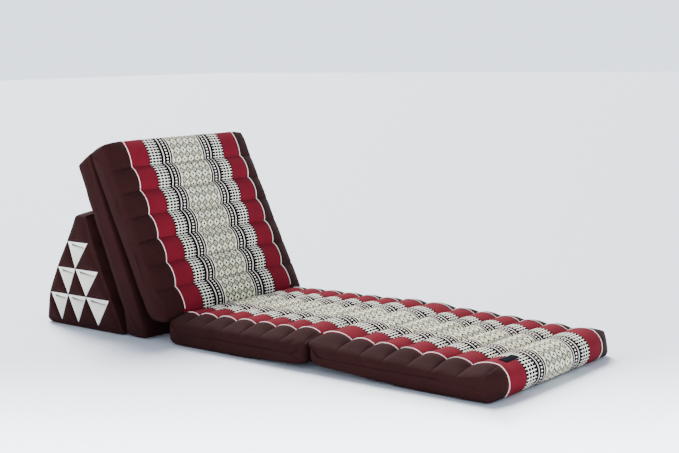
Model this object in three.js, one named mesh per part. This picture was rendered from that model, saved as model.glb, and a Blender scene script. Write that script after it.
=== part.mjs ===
// A fold-out triangle cushion: a filled wedge, two panels stood against it as a backrest, and two
// panels laid on the floor as a seat and a leg rest. Each panel is a cotton case with seven filled
// channels. Millimetres: +X from the wedge to the foot end, +Z up, and the near side at -Y.

import * as THREE from 'three';

// Driving sizes
const CHANNEL = 66; // pitch of one filled channel, the unit of every outline below
const WIDTH = 531; // across the cushion
const PIPING_OFFSET = 205; // from the middle line to each piping
const THICKNESS = 1.06; // of a panel at its stitched valleys, in channels
const GAP = 0.3; // between pieces that touch

// Cloth shape
const RIB_FULLNESS = 2.4; // 2 is a parabola, more is squarer
const RIB_CUTS = 5; // facets over one channel
const SIDE_DROP = 0.13; // how far the patterned face falls to the side seam, in channels
const BACK_TUCK = 0.35; // how far the plain face rounds in at the side, as a share of the patterned face

// Piping and its seam
const PIPING_REACH = 3.1;
const PIPING_HALF = 2.4;
const PIPING_ROOT = 1.2; // how far the cord sinks into the cloth
const PIPING_SHOULDER = 0.6; // how far its widest points stand out
const SEAM_DEPTH = 2.5;
const SEAM_HALF = 4;

// Wedge ends
const WEDGE_HALF_WIDTH = WIDTH / 2 - 1.5; // to the seams of the wedge's ends
const END_PUFF = 7; // how far each brown triangle stands out from those seams
const POCKET_DEPTH = 35;
const POCKET_MARGIN = 0.08; // share of a pocket's mouth taken up by the seams round it
const POCKET_CLOTH = 1.5;
const POCKET_RIM = 1.2; // how far the pocket's sewn edge stands proud

// Label
const LABEL_FROM_MIDDLE = 151;
const LABEL_WIDTH = 54;
const LABEL_CLOTH = 1;
const LABEL_REACH = { first: 6, last: 9 }; // points of the leg rest's piped outline that it covers

const COLOURS = { brown: 0x43242a, piping: 0xe9d9cf, pocket: 0xe4e0d4, label: 0x1c1f3a };

// The cross-section changes from the middle to the side: the channels flatten, the patterned
// face falls towards the side seam, and the side rounds in above and below.
const SEAM_STATION = { y: PIPING_OFFSET, puff: 0.82, drop: 0, tuck: 0, groove: SEAM_DEPTH };
const MIDDLE_STATION = { y: 0, puff: 1, drop: 0, tuck: 0, groove: 0 };
const INNER_STATIONS = [
  { y: PIPING_OFFSET / 2, puff: 0.97, drop: 0, tuck: 0, groove: 0 },
  { y: PIPING_OFFSET - SEAM_HALF, puff: 0.82, drop: 0, tuck: 0, groove: 0 },
  SEAM_STATION,
  { y: PIPING_OFFSET + SEAM_HALF, puff: 0.82, drop: 0, tuck: 0, groove: 0 },
];
// The brown border's stations are given by their share of its width.
const BORDER_STATIONS = [
  { share: 0.48, puff: 0.62, drop: 0.35, tuck: 0, groove: 0 },
  { share: 0.78, puff: 0.34, drop: 0.8, tuck: 0.8, groove: 0 },
  { share: 0.94, puff: 0.12, drop: 1, tuck: 4, groove: 0 },
  { share: 1, puff: 0.05, drop: 1, tuck: 15, groove: 0 },
];

const point = (x, z) => new THREE.Vector2(x, z).multiplyScalar(CHANNEL);
const unit = (degrees) => {
  const angle = THREE.MathUtils.degToRad(degrees);
  return new THREE.Vector2(Math.cos(angle), Math.sin(angle));
};
const along = (start, direction, length) => start.clone().addScaledVector(direction, length * CHANNEL);

// A knot is a corner of a case's outline, which runs anticlockwise seen from the near side. The
// cloth from it to the next knot stands out by rise, and drop is where the side seam pulls it.
function knot(at, { rise = 0, cuts = 1, drop = null, piped = false } = {}) {
  return { at, rise: rise * CHANNEL, cuts, drop: drop ?? new THREE.Vector2(), piped };
}

// Knots of a ribbed face from start to end, where bow pushes the valleys of the middle outwards.
function ribbedFace(start, end, options) {
  const { lengths, rise, bow = 0, sideDrop = SIDE_DROP, firstRise = rise, lastRise = rise } = options;
  const run = end.clone().sub(start);
  const outward = new THREE.Vector2(run.y, -run.x).normalize();
  const drop = outward.clone().multiplyScalar(-sideDrop * CHANNEL);
  const total = lengths.reduce((sum, length) => sum + length, 0);
  let passed = 0;
  return lengths.map((length, index) => {
    const t = passed / total;
    passed += length;
    const at = start.clone().addScaledVector(run, t).addScaledVector(outward, 4 * bow * t * (1 - t) * CHANNEL);
    const last = index === lengths.length - 1;
    const ribRise = index === 0 ? firstRise : last ? lastRise : rise;
    return knot(at, { rise: ribRise, cuts: RIB_CUTS, drop, piped: true });
  });
}

const evenRibs = (count) => new Array(count).fill(1);

// Right-hand normals of a closed line, which point out of an anticlockwise outline.
function outwardNormals(line) {
  return line.map((_, i) => {
    const ahead = line[(i + 1) % line.length];
    const behind = line[(i + line.length - 1) % line.length];
    return new THREE.Vector2(ahead.y - behind.y, behind.x - ahead.x).normalize();
  });
}

// The outline of a case at one station across its width. Its tucks say by what share of the
// station's tuck each end and each face rounds in, low before the centre and high after it.
function outlineAt(shape, station) {
  const { knots, centre, lengthwise, halfLength, halfDepth, tucks = {} } = shape;
  const corners = knots.map((k) => k.at.clone().addScaledVector(k.drop, station.drop));
  const line = [];
  const piped = [];
  knots.forEach((k, i) => {
    const chord = corners[(i + 1) % knots.length].clone().sub(corners[i]);
    const outward = new THREE.Vector2(chord.y, -chord.x).normalize();
    for (let cut = 0; cut < k.cuts; cut += 1) {
      const t = 0.5 - 0.5 * Math.cos((Math.PI * cut) / k.cuts);
      const lift = k.rise * station.puff * (1 - Math.abs(2 * t - 1) ** RIB_FULLNESS);
      line.push(corners[i].clone().addScaledVector(chord, t).addScaledVector(outward, lift));
      piped.push(k.piped);
    }
  });
  const normals = outwardNormals(line);
  const depthwise = new THREE.Vector2(-lengthwise.y, lengthwise.x);
  const tucked = (distance, half, { low = 1, high = 1 } = {}) => (
    distance * (1 - (station.tuck * (distance > 0 ? high : low)) / half)
  );
  const points = line.map((p, i) => {
    const sunk = p.clone().addScaledVector(normals[i], piped[i] ? -station.groove : 0).sub(centre);
    return centre.clone()
      .addScaledVector(lengthwise, tucked(sunk.dot(lengthwise), halfLength, tucks.length))
      .addScaledVector(depthwise, tucked(sunk.dot(depthwise), halfDepth, tucks.depth));
  });
  return { points, piped };
}

// Joins closed rows of points in order, and leaves the first and the last row open.
function skinRows(rows) {
  const count = rows[0].length;
  const positions = rows.flatMap((row) => row.flatMap((p) => [p.x, p.y, p.z]));
  const faces = [];
  for (let row = 0; row + 1 < rows.length; row += 1) {
    for (let i = 0; i < count; i += 1) {
      const a = row * count + i;
      const b = row * count + ((i + 1) % count);
      faces.push(a, a + count, b, b, a + count, b + count);
    }
  }
  return { positions, faces };
}

function solid(positions, faces) {
  const geometry = new THREE.BufferGeometry();
  geometry.setAttribute('position', new THREE.Float32BufferAttribute(positions, 3));
  geometry.setIndex(faces);
  geometry.computeVertexNormals();
  return geometry;
}

// A closed strip through rows of four points.
function fourSided(rows) {
  const { positions, faces } = skinRows(rows);
  const last = (rows.length - 1) * 4;
  faces.push(0, 1, 2, 0, 2, 3);
  faces.push(last, last + 2, last + 1, last, last + 3, last + 2);
  return solid(positions, faces);
}

function allStations(halfWidth) {
  const border = BORDER_STATIONS
    .map((s) => ({ ...s, y: PIPING_OFFSET + s.share * (halfWidth - PIPING_OFFSET) }));
  const half = [...INNER_STATIONS, ...border];
  return [...half.map((s) => ({ ...s, y: -s.y })).reverse(), MIDDLE_STATION, ...half];
}

// A filled case through all stations, with buildEnd to close each end.
function filledCase(shape, buildEnd) {
  const stations = allStations(shape.halfWidth ?? WIDTH / 2);
  const rows = stations.map((s) => outlineAt(shape, s).points.map((p) => new THREE.Vector3(p.x, s.y, p.y)));
  const { positions, faces } = skinRows(rows);
  const count = rows[0].length;
  for (const side of [-1, 1]) {
    const first = side < 0 ? 0 : (rows.length - 1) * count;
    const outline = (side < 0 ? rows[0] : rows.at(-1)).map((p) => new THREE.Vector2(p.x, p.z));
    buildEnd({ outline, first, side, y: stations.at(-1).y * side, positions, faces });
  }
  return solid(positions, faces);
}

// Turns a face over where it lies on the far side.
function addFace(faces, side, a, b, c) {
  faces.push(...(side < 0 ? [a, b, c] : [a, c, b]));
}

function flatEnd({ outline, first, side, faces }) {
  for (const [a, b, c] of THREE.ShapeUtils.triangulateShape(outline, [])) {
    addFace(faces, side, first + a, first + b, first + c);
  }
}

// Panel outlines
const JUNCTION = { x: 0, z: 1.05 }; // the seam between backrest and seat
const HINGE = { x: 6.99, z: 1.135 }; // the seam between seat and leg rest
const TOP_SEAM = { x: -4.2, z: 7.27 }; // the seam between the two upright panels
const BACK_LEAN = 63.75;
const INNER_LEAN = 66.6;

function legRest() {
  const hinge = point(HINGE.x, HINGE.z).add(new THREE.Vector2(GAP / 2, 0));
  const lastValley = point(13.37, 0.95);
  const drop = new THREE.Vector2(0, -SIDE_DROP * CHANNEL);
  const knots = [
    knot(point(7.36, 0.27)),
    knot(point(8.42, 0.17)),
    knot(point(10.9, 0.02)),
    knot(point(11.3, 0), { cuts: 2 }),
    knot(point(14.4, 0)),
    knot(point(14.54, 0.04), { rise: 0.34, cuts: 6, piped: true }),
    knot(point(14.4, 1.09), { rise: 0.12, cuts: RIB_CUTS, drop, piped: true }),
    ...ribbedFace(lastValley, hinge, {
      lengths: [...evenRibs(5), 1.38],
      rise: 0.2,
      lastRise: 0.25,
    }),
    knot(hinge, { drop }),
    knot(point(7.08, 0.98), { rise: 0.02, cuts: 2, drop: drop.clone().multiplyScalar(0.5) }),
    knot(point(7.19, 0.4)),
  ];
  return {
    knots,
    centre: point(10.9, 0.55),
    lengthwise: unit(0),
    halfLength: 3.9 * CHANNEL,
    halfDepth: 0.53 * CHANNEL,
    tucks: { length: { high: BACK_TUCK }, depth: { low: BACK_TUCK } },
  };
}

function seat() {
  const junction = point(JUNCTION.x, JUNCTION.z).add(new THREE.Vector2(GAP, -GAP));
  const hinge = point(HINGE.x, HINGE.z).sub(new THREE.Vector2(GAP / 2, 0));
  const drop = new THREE.Vector2(0, -SIDE_DROP * CHANNEL);
  const knots = [
    knot(point(0.08, 0), { cuts: 2 }),
    knot(point(3.9, 0)),
    knot(point(6.7, 0.19)),
    knot(point(6.84, 0.32), { rise: 0.02, cuts: 2 }),
    knot(point(6.92, 0.98), { drop: drop.clone().multiplyScalar(0.5) }),
    ...ribbedFace(hinge, junction, {
      lengths: [1.186, ...evenRibs(5), 0.807],
      rise: 0.19,
      firstRise: 0.25,
      lastRise: 0.14,
    }),
    knot(junction, { drop }),
    knot(point(-0.02, 0.9), { rise: 0.02, cuts: 2, drop: drop.clone().multiplyScalar(0.5) }),
    knot(point(-0.06, 0.14)),
  ];
  return {
    knots,
    centre: point(3.45, 0.54),
    lengthwise: unit(0),
    halfLength: 3.5 * CHANNEL,
    halfDepth: 0.53 * CHANNEL,
    tucks: { depth: { low: BACK_TUCK } },
  };
}

function backrest() {
  const up = unit(180 - BACK_LEAN);
  const out = unit(90 - BACK_LEAN);
  const junction = point(JUNCTION.x, JUNCTION.z).add(new THREE.Vector2(-GAP / 2, 0));
  const local = (height, depth) => along(along(junction, up, height), out, depth - THICKNESS);
  const drop = out.clone().multiplyScalar(-SIDE_DROP * CHANNEL);
  const topSeam = point(TOP_SEAM.x, TOP_SEAM.z).add(new THREE.Vector2(GAP / 2, 0));
  const knots = [
    knot(topSeam),
    knot(local(7.28, 0), { cuts: 2 }),
    knot(local(0.42, 0)),
    knot(local(0.2, 0.12), { rise: 0.03, cuts: 2 }),
    knot(local(-0.12, 0.84), { drop: drop.clone().multiplyScalar(0.5) }),
    ...ribbedFace(junction, local(6.275, THICKNESS), {
      lengths: [1.13, ...evenRibs(5)],
      rise: 0.2,
    }),
    knot(local(6.275, THICKNESS), { rise: 0.14, cuts: RIB_CUTS, drop, piped: true }),
    knot(local(7.4, THICKNESS), { rise: 0.13, cuts: 4, drop, piped: true }),
  ];
  return {
    knots,
    centre: local(3.6, THICKNESS / 2),
    lengthwise: up,
    halfLength: 3.75 * CHANNEL,
    halfDepth: 0.53 * CHANNEL,
    tucks: { depth: { high: BACK_TUCK } },
  };
}

function innerPanel() {
  const up = unit(180 - INNER_LEAN);
  const toWedge = unit(270 - INNER_LEAN);
  const foot = point(-1.16, 0);
  const local = (height, depth) => along(along(foot, up, height), toWedge, depth);
  const drop = toWedge.clone().multiplyScalar(-SIDE_DROP * CHANNEL);
  const topSeam = point(TOP_SEAM.x, TOP_SEAM.z).add(new THREE.Vector2(-GAP / 2, 0));
  const knots = [
    knot(point(-2.4, 0), { cuts: 2 }),
    knot(point(-1.34, 0)),
    knot(local(0.2, 0), { cuts: 2 }),
    knot(local(7.68, 0)),
    knot(topSeam, { rise: 0.12, cuts: 5, piped: true }),
    ...ribbedFace(local(7.74, THICKNESS), local(1.5, THICKNESS), { lengths: evenRibs(6), rise: 0.13 }),
    knot(local(1.5, THICKNESS), { cuts: RIB_CUTS, drop, piped: true }),
    knot(point(-2.53, 0.08)),
  ];
  return {
    knots,
    centre: local(3.95, THICKNESS / 2),
    lengthwise: up,
    halfLength: 3.95 * CHANNEL,
    halfDepth: 0.53 * CHANNEL,
    tucks: { depth: { low: BACK_TUCK } },
  };
}

// Wedge outline, with four channels on each slope
const FRONT_FOOT = { x: -2.55, z: 0.08 };
const REAR_FOOT = { x: -7.47, z: 0.16 };
const RIDGE = { front: -4.66, z: 4.72 };
const REAR_VALLEYS = [ // from the ridge down
  { x: -5.34, z: 4.72 },
  { x: -5.96, z: 3.6 },
  { x: -6.68, z: 2.5 },
  { x: -7.23, z: 1.36 },
];

function wedge() {
  const frontFoot = point(FRONT_FOOT.x, FRONT_FOOT.z);
  const ridgeFront = point(RIDGE.front, RIDGE.z);
  const rearFoot = point(REAR_FOOT.x, REAR_FOOT.z);
  const sideDrop = 0.04;
  const down = new THREE.Vector2(0, -sideDrop * CHANNEL);
  const front = ribbedFace(frontFoot, ridgeFront, {
    lengths: [1.25, 1, 1, 1],
    rise: 0.15,
    firstRise: 0.03,
    lastRise: 0.09,
    bow: -0.1,
    sideDrop,
  });
  const rear = REAR_VALLEYS
    .map(({ x, z }) => knot(point(x, z), { rise: 0.17, cuts: RIB_CUTS, drop: down, piped: true }));
  const knots = [
    knot(point(REAR_FOOT.x + 0.2, 0), { cuts: 3 }),
    knot(point(FRONT_FOOT.x - 0.09, 0)),
    ...front,
    knot(ridgeFront, { rise: 0.12, cuts: 3, drop: down }),
    ...rear,
    knot(rearFoot),
  ];
  return {
    knots,
    centre: point(-5.0, 1.5),
    lengthwise: unit(0),
    halfLength: 9 * CHANNEL,
    halfDepth: 9 * CHANNEL,
    halfWidth: WEDGE_HALF_WIDTH,
  };
}

// The wedge's ends are sewn from rows of triangles: the upright ones are filled and brown, and
// the ones that point down are sunk pockets. Each row has its height and its corners' places.
const END_ROWS = [
  { z: 4.6, corners: [-5.26, -4.74] },
  { z: 3.57, corners: [-5.86, -4.62] },
  { z: 2.45, corners: [-6.56, -5.47, -4.04] },
  { z: 1.33, corners: [-7.1, -6.0, -4.87, -3.44] },
  { z: 0.2, corners: [-7.32, -6.47, -5.41, -4.16, -2.9] },
];
const endPoint = (row, column) => point(END_ROWS[row].corners[column], END_ROWS[row].z);

const centreOf = (corners) => corners
  .reduce((sum, p) => sum.add(p), new THREE.Vector2())
  .divideScalar(corners.length);

// Pockets by row, each with its mouth's corners anticlockwise.
function pockets() {
  const list = [];
  for (let row = 1; row < END_ROWS.length - 1; row += 1) {
    for (let column = 0; column < row; column += 1) {
      const corners = [endPoint(row, column), endPoint(row + 1, column + 1), endPoint(row, column + 1)];
      const centre = centreOf(corners);
      list.push({ corners, centre, mouth: corners.map((p) => p.clone().lerp(centre, POCKET_MARGIN)) });
    }
  }
  return list;
}

function uprightTriangles() {
  const list = [[endPoint(0, 0), endPoint(1, 0), endPoint(1, 1), endPoint(0, 1)]];
  for (let row = 1; row < END_ROWS.length - 1; row += 1) {
    for (let column = 0; column <= row; column += 1) {
      list.push([endPoint(row, column), endPoint(row + 1, column), endPoint(row + 1, column + 1)]);
    }
  }
  return list;
}

function pocketedEnd({ outline, first, side, y, positions, faces }) {
  const place = (p, out) => positions.push(p.x, y + side * out, p.y) / 3 - 1;
  const known = new Map();
  const shared = (p) => {
    const key = `${p.x.toFixed(3)},${p.y.toFixed(3)}`;
    if (!known.has(key)) known.set(key, place(p, 0));
    return known.get(key);
  };
  const bottomRow = END_ROWS.length - 1;
  const rim = [];
  for (let row = 0; row < bottomRow; row += 1) rim.push(endPoint(row, 0));
  for (let column = 0; column <= bottomRow; column += 1) rim.push(endPoint(bottomRow, column));
  for (let row = bottomRow - 1; row >= 0; row -= 1) rim.push(endPoint(row, Math.max(row, 1)));
  const ids = [...outline.map((_, i) => first + i), ...rim.map(shared)];
  for (const [a, b, c] of THREE.ShapeUtils.triangulateShape(outline, [rim])) {
    addFace(faces, side, ids[a], ids[b], ids[c]);
  }
  const fan = (corners, tip) => corners.forEach((corner, i) => {
    addFace(faces, side, corner, corners[(i + 1) % corners.length], tip);
  });
  for (const corners of uprightTriangles()) {
    fan(corners.map(shared), place(centreOf(corners), END_PUFF));
  }
  for (const { corners, centre, mouth } of pockets()) {
    const outer = corners.map(shared);
    const inner = mouth.map((p) => place(p, 0));
    outer.forEach((corner, i) => {
      const next = (i + 1) % outer.length;
      addFace(faces, side, corner, outer[next], inner[i]);
      addFace(faces, side, outer[next], inner[next], inner[i]);
    });
    fan(inner, place(centre, -POCKET_DEPTH));
  }
}

// One pocket's cloth: a thin three-sided cone against the walls of its hollow.
function pocketCloth({ centre, mouth }, side, y) {
  const radius = mouth.reduce((sum, p, i) => {
    const next = mouth[(i + 1) % mouth.length];
    const wall = next.clone().sub(p);
    return sum + Math.abs(wall.cross(centre.clone().sub(p))) / wall.length() / mouth.length;
  }, 0);
  const slope = Math.hypot(radius, POCKET_DEPTH);
  const positions = [];
  const faces = [];
  const ring = (inset, out) => mouth.map((p) => {
    const at = p.clone().lerp(centre, (inset * slope) / POCKET_DEPTH / radius);
    return positions.push(at.x, y + side * out, at.y) / 3 - 1;
  });
  const tip = (inset) => positions
    .push(centre.x, y + side * ((inset * slope) / radius - POCKET_DEPTH), centre.y) / 3 - 1;
  const inset = GAP * 1.5;
  const rings = [ring(inset, 0), ring(inset, POCKET_RIM), ring(inset + POCKET_CLOTH, POCKET_RIM)];
  for (let r = 0; r + 1 < rings.length; r += 1) {
    rings[r].forEach((a, i) => {
      const next = (i + 1) % mouth.length;
      addFace(faces, side, a, rings[r][next], rings[r + 1][i]);
      addFace(faces, side, rings[r][next], rings[r + 1][next], rings[r + 1][i]);
    });
  }
  const backTip = tip(inset);
  const frontTip = tip(inset + POCKET_CLOTH);
  for (let i = 0; i < mouth.length; i += 1) {
    const next = (i + 1) % mouth.length;
    addFace(faces, side, rings[0][next], rings[0][i], backTip);
    addFace(faces, side, rings[2][i], rings[2][next], frontTip);
  }
  return solid(positions, faces);
}

// Piping: a thin cord sewn along the ribbed cloth, cut short of each seam it meets.
const PIPING_SECTION = [
  { out: -PIPING_ROOT, side: 0 },
  { out: PIPING_SHOULDER, side: PIPING_HALF },
  { out: PIPING_REACH, side: 0 },
  { out: PIPING_SHOULDER, side: -PIPING_HALF },
];

function shorten(line, length) {
  const trimmed = line.slice();
  while (trimmed.length > 2 && trimmed[0].at.distanceTo(trimmed[1].at) < length) {
    length -= trimmed[0].at.distanceTo(trimmed[1].at);
    trimmed.shift();
  }
  const [head, next] = trimmed;
  const share = length / head.at.distanceTo(next.at);
  trimmed[0] = { at: head.at.clone().lerp(next.at, share), normal: head.normal.clone().lerp(next.normal, share) };
  return trimmed;
}

// The piped stretches of a case's outline, each with the normal of its cloth.
function pipedRuns(shape, station) {
  const { points, piped } = outlineAt(shape, station);
  const normals = outwardNormals(points);
  const runs = [];
  points.forEach((at, i) => {
    if (!piped[i]) return;
    if (!piped[(i + points.length - 1) % points.length]) runs.push([]);
    runs.at(-1).push({ at, normal: normals[i] });
    const next = (i + 1) % points.length;
    if (!piped[next]) runs.at(-1).push({ at: points[next], normal: normals[next] });
  });
  return runs;
}

function pipingCord(run, y, cutFirst, cutLast) {
  const line = shorten(shorten(run, cutFirst).reverse(), cutLast).reverse();
  const rows = line.map(({ at, normal }) => PIPING_SECTION.map(({ out, side }) => {
    const p = at.clone().addScaledVector(normal, out);
    return new THREE.Vector3(p.x, y + side, p.y);
  }));
  return fourSided(rows);
}

// The label lies over the last channel's edge, sewn into the seam across the foot end.
function labelTab(shape) {
  const [run] = pipedRuns(shape, MIDDLE_STATION);
  const covered = run.slice(LABEL_REACH.first, LABEL_REACH.last);
  const edges = [-LABEL_FROM_MIDDLE + LABEL_WIDTH / 2, -LABEL_FROM_MIDDLE - LABEL_WIDTH / 2];
  const lifts = [2 * GAP, 2 * GAP + LABEL_CLOTH];
  const rows = covered.map(({ at, normal }) => {
    const [low, high] = lifts.map((lift) => at.clone().addScaledVector(normal, lift));
    return [
      new THREE.Vector3(low.x, edges[0], low.y),
      new THREE.Vector3(high.x, edges[0], high.y),
      new THREE.Vector3(high.x, edges[1], high.y),
      new THREE.Vector3(low.x, edges[1], low.y),
    ];
  });
  return fourSided(rows);
}

// The finished cushion
const cushion = new THREE.Group();

function addPiece(name, geometry, colour, roughness) {
  const material = new THREE.MeshStandardMaterial({ color: colour, roughness, metalness: 0 });
  const mesh = new THREE.Mesh(geometry, material);
  mesh.name = name;
  cushion.add(mesh);
}

// Each case, with the names of its piped faces and the lengths by which their pipings stop short
// of the seams at the two ends.
const CASES = [
  {
    name: 'wedge',
    shape: wedge(),
    buildEnd: pocketedEnd,
    faces: [
      { face: 'wedge_front', cuts: [52, 6] },
      { face: 'wedge_rear', cuts: [6, 6] },
    ],
  },
  {
    name: 'inner_panel',
    shape: innerPanel(),
    buildEnd: flatEnd,
    faces: [{ face: 'inner_panel', cuts: [6, 52] }],
  },
  {
    name: 'backrest',
    shape: backrest(),
    buildEnd: flatEnd,
    faces: [{ face: 'backrest', cuts: [14, 6] }],
  },
  {
    name: 'seat',
    shape: seat(),
    buildEnd: flatEnd,
    faces: [{ face: 'seat', cuts: [6, 14] }],
  },
  {
    name: 'leg_rest',
    shape: legRest(),
    buildEnd: flatEnd,
    faces: [{ face: 'leg_rest', cuts: [4, 6] }],
  },
];
const SIDES = [['near', -1], ['far', 1]];

for (const { name, shape, buildEnd, faces } of CASES) {
  addPiece(name, filledCase(shape, buildEnd), COLOURS.brown, 0.85);
  const runs = pipedRuns(shape, { ...SEAM_STATION, groove: 0 });
  faces.forEach(({ face, cuts }, i) => {
    for (const [sideName, side] of SIDES) {
      const cord = pipingCord(runs[i], side * PIPING_OFFSET, ...cuts);
      addPiece(`piping_${face}_${sideName}`, cord, COLOURS.piping, 0.8);
    }
  });
}

for (const [sideName, side] of SIDES) {
  pockets().forEach((pocket, i) => {
    const cloth = pocketCloth(pocket, side, side * WEDGE_HALF_WIDTH);
    addPiece(`pocket_${sideName}_${i + 1}`, cloth, COLOURS.pocket, 0.8);
  });
}

addPiece('label', labelTab(legRest()), COLOURS.label, 0.7);

// The origin is on the floor, under the middle of the whole cushion.
const reach = new THREE.Box3().setFromObject(cushion);
cushion.position.set(-(reach.min.x + reach.max.x) / 2, 0, -reach.min.z);

export default cushion;
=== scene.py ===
import math
from collections import namedtuple
from dataclasses import dataclass, field

import bpy
from bpy.props import FloatProperty, FloatVectorProperty, PointerProperty
from bpy.types import Operator, Panel, PropertyGroup
from mathutils import Matrix, Vector, noise
from mathutils.geometry import delaunay_2d_cdt


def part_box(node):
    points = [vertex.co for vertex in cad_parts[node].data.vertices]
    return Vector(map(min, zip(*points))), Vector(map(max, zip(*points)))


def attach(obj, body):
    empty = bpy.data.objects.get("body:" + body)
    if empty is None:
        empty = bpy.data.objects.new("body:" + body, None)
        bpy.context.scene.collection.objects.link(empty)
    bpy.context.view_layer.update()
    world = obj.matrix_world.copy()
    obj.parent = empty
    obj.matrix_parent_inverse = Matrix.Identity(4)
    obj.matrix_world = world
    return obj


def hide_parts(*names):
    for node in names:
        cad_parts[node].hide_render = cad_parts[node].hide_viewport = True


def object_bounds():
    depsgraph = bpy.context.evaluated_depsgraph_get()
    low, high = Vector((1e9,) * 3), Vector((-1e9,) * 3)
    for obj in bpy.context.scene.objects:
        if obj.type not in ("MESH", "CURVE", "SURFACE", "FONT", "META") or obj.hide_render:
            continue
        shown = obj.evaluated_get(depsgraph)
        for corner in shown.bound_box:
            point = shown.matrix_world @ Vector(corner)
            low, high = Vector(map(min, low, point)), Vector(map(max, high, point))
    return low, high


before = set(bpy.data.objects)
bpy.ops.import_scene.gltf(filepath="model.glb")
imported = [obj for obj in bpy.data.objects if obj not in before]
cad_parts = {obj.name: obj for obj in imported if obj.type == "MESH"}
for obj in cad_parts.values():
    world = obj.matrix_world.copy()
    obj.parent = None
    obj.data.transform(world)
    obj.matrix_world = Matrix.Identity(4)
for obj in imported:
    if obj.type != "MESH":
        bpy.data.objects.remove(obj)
CAD_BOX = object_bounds()

bl_info = {
    "name": "Fold-out triangle cushion",
    "version": (1, 0, 0),
    "blender": (4, 5, 0),
    "location": "3D Viewport > Sidebar > Cushion",
    "description": "Builds a ribbed fold-out cushion with its wedge, in banded cotton with piping",
    "category": "Add Mesh",
}

MM = 0.001
BODY = "root"

# Sizes that the frame gives
SEAT_LOW, SEAT_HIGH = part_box("seat")
PIPING_LOW, PIPING_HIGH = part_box("piping_seat_far")
HALF_WIDTH = SEAT_HIGH.y
PIPING_Y = (PIPING_LOW.y + PIPING_HIGH.y) / 2

# Driving sizes of the cut and the filling, in metres
CHANNEL = 66 * MM  # pitch of one filled channel, the unit of every outline below
THICKNESS = 1.06  # of a panel at its stitched valleys, in channels
HALF_THICKNESS = THICKNESS / 2 * CHANNEL
SIDE_DROP = 0.13  # how far the ribbed face falls to the side seam, in channels
BACK_TUCK = 0.35  # how far a back or the foot end rounds in at the side, as a share of a ribbed face
FLOOR_TUCK = 0.8  # and the same where a panel lies on the floor
GAP = 0.3 * MM  # between neighbouring cases
WEDGE_HALF_WIDTH = HALF_WIDTH - 1.5 * MM  # to the seams of the wedge's ends
END_PUFF = 7 * MM  # how far each brown triangle stands out from those seams
FLOOR_ORIGIN = SEAT_LOW.x + 0.06 * CHANNEL  # where the backrest and the seat meet, on the floor

# The seams between panels, in channels from that point, and the slopes of the upright panels
JUNCTION = (0, 1.05)  # of backrest and seat
HINGE = (6.99, 1.135)  # of seat and leg rest
TOP_SEAM = (-4.2, 7.27)  # of inner panel and backrest
BACK_LEAN = 63.75  # degrees from the floor
INNER_LEAN = 66.6

# How finely the cloth is meshed
RIB_CUTS = 18  # facets over a channel
RIB_CUTS_LEAST = 6  # and over the narrowest rise
PLAIN_STEP = 9 * MM  # length of a facet of plain cloth
STATION_STEP = 4.2 * MM  # between the sections across the width
EDGE_STEPS = 7  # sections round the edge to the side
SIDE_STEPS = 9  # and on to the middle of a panel's side
CORNER_PASSES = 5  # of smoothing at plain corners
END_STEP = 4.5 * MM  # between the points of the wedge's ends


def linear(hex_colour):
    """A linear RGBA colour from an sRGB hex value."""
    channels = [int(hex_colour[i : i + 2], 16) / 255 for i in (1, 3, 5)]
    return [c / 12.92 if c <= 0.04045 else ((c + 0.055) / 1.055) ** 2.4 for c in channels] + [1.0]


def length_property(label, description, millimetres):
    length = millimetres * MM
    return FloatProperty(name=label, description=description, default=length, unit="LENGTH", precision=5)


def colour_property(label, description, hex_colour):
    return FloatVectorProperty(
        name=label, description=description, default=linear(hex_colour), size=4, subtype="COLOR", min=0, max=1
    )


class CushionSizes(PropertyGroup):
    pucker: length_property("Pucker", "Height of the gathers beside a stitched valley", 1.7)
    pucker_spacing: length_property("Pucker spacing", "Distance between gathers along a valley", 13)
    pinch: length_property("Pinch", "How far the valleys pull in the brown border", 2.0)
    lump: length_property("Lump", "Unevenness of the filling", 2.2)
    lump_spacing: length_property("Lump spacing", "Distance between lumps of filling", 70)
    seam_sink: length_property("Seam sink", "How far the cloth sinks beside the piping", 3)
    piping: length_property("Piping", "Diameter of the piping", 2.1)
    pocket_depth: length_property("Pocket depth", "Depth of the pockets in the wedge's ends", 40)
    pocket_rim: length_property("Pocket rim", "Diameter of a pocket's folded edge", 3.2)
    pocket_flap: length_property("Pocket flap", "How far a pocket's top wall laps over", 4)
    stitch: length_property("Stitch", "Length of one visible stitch", 3.2)
    stitch_spacing: length_property("Stitch spacing", "Distance between stitches", 5.2)
    thread: length_property("Thread", "Thickness of the sewing thread", 0.7)
    weave: length_property("Weave", "Thread spacing, coarser than the real 0.4 mm so that it shows", 1.1)
    tooth_pitch: length_property("Tooth pitch", "Distance between the white bars of the toothed band", 8.2)
    dot_pitch: length_property("Dot pitch", "Distance between the white dots of the narrow band", 8.2)
    diamond_across: length_property("Diamond across", "Width of one diamond of the lattice", 23.4)
    diamond_along: length_property("Diamond along", "Length of one diamond of the lattice", 26.4)


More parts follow.
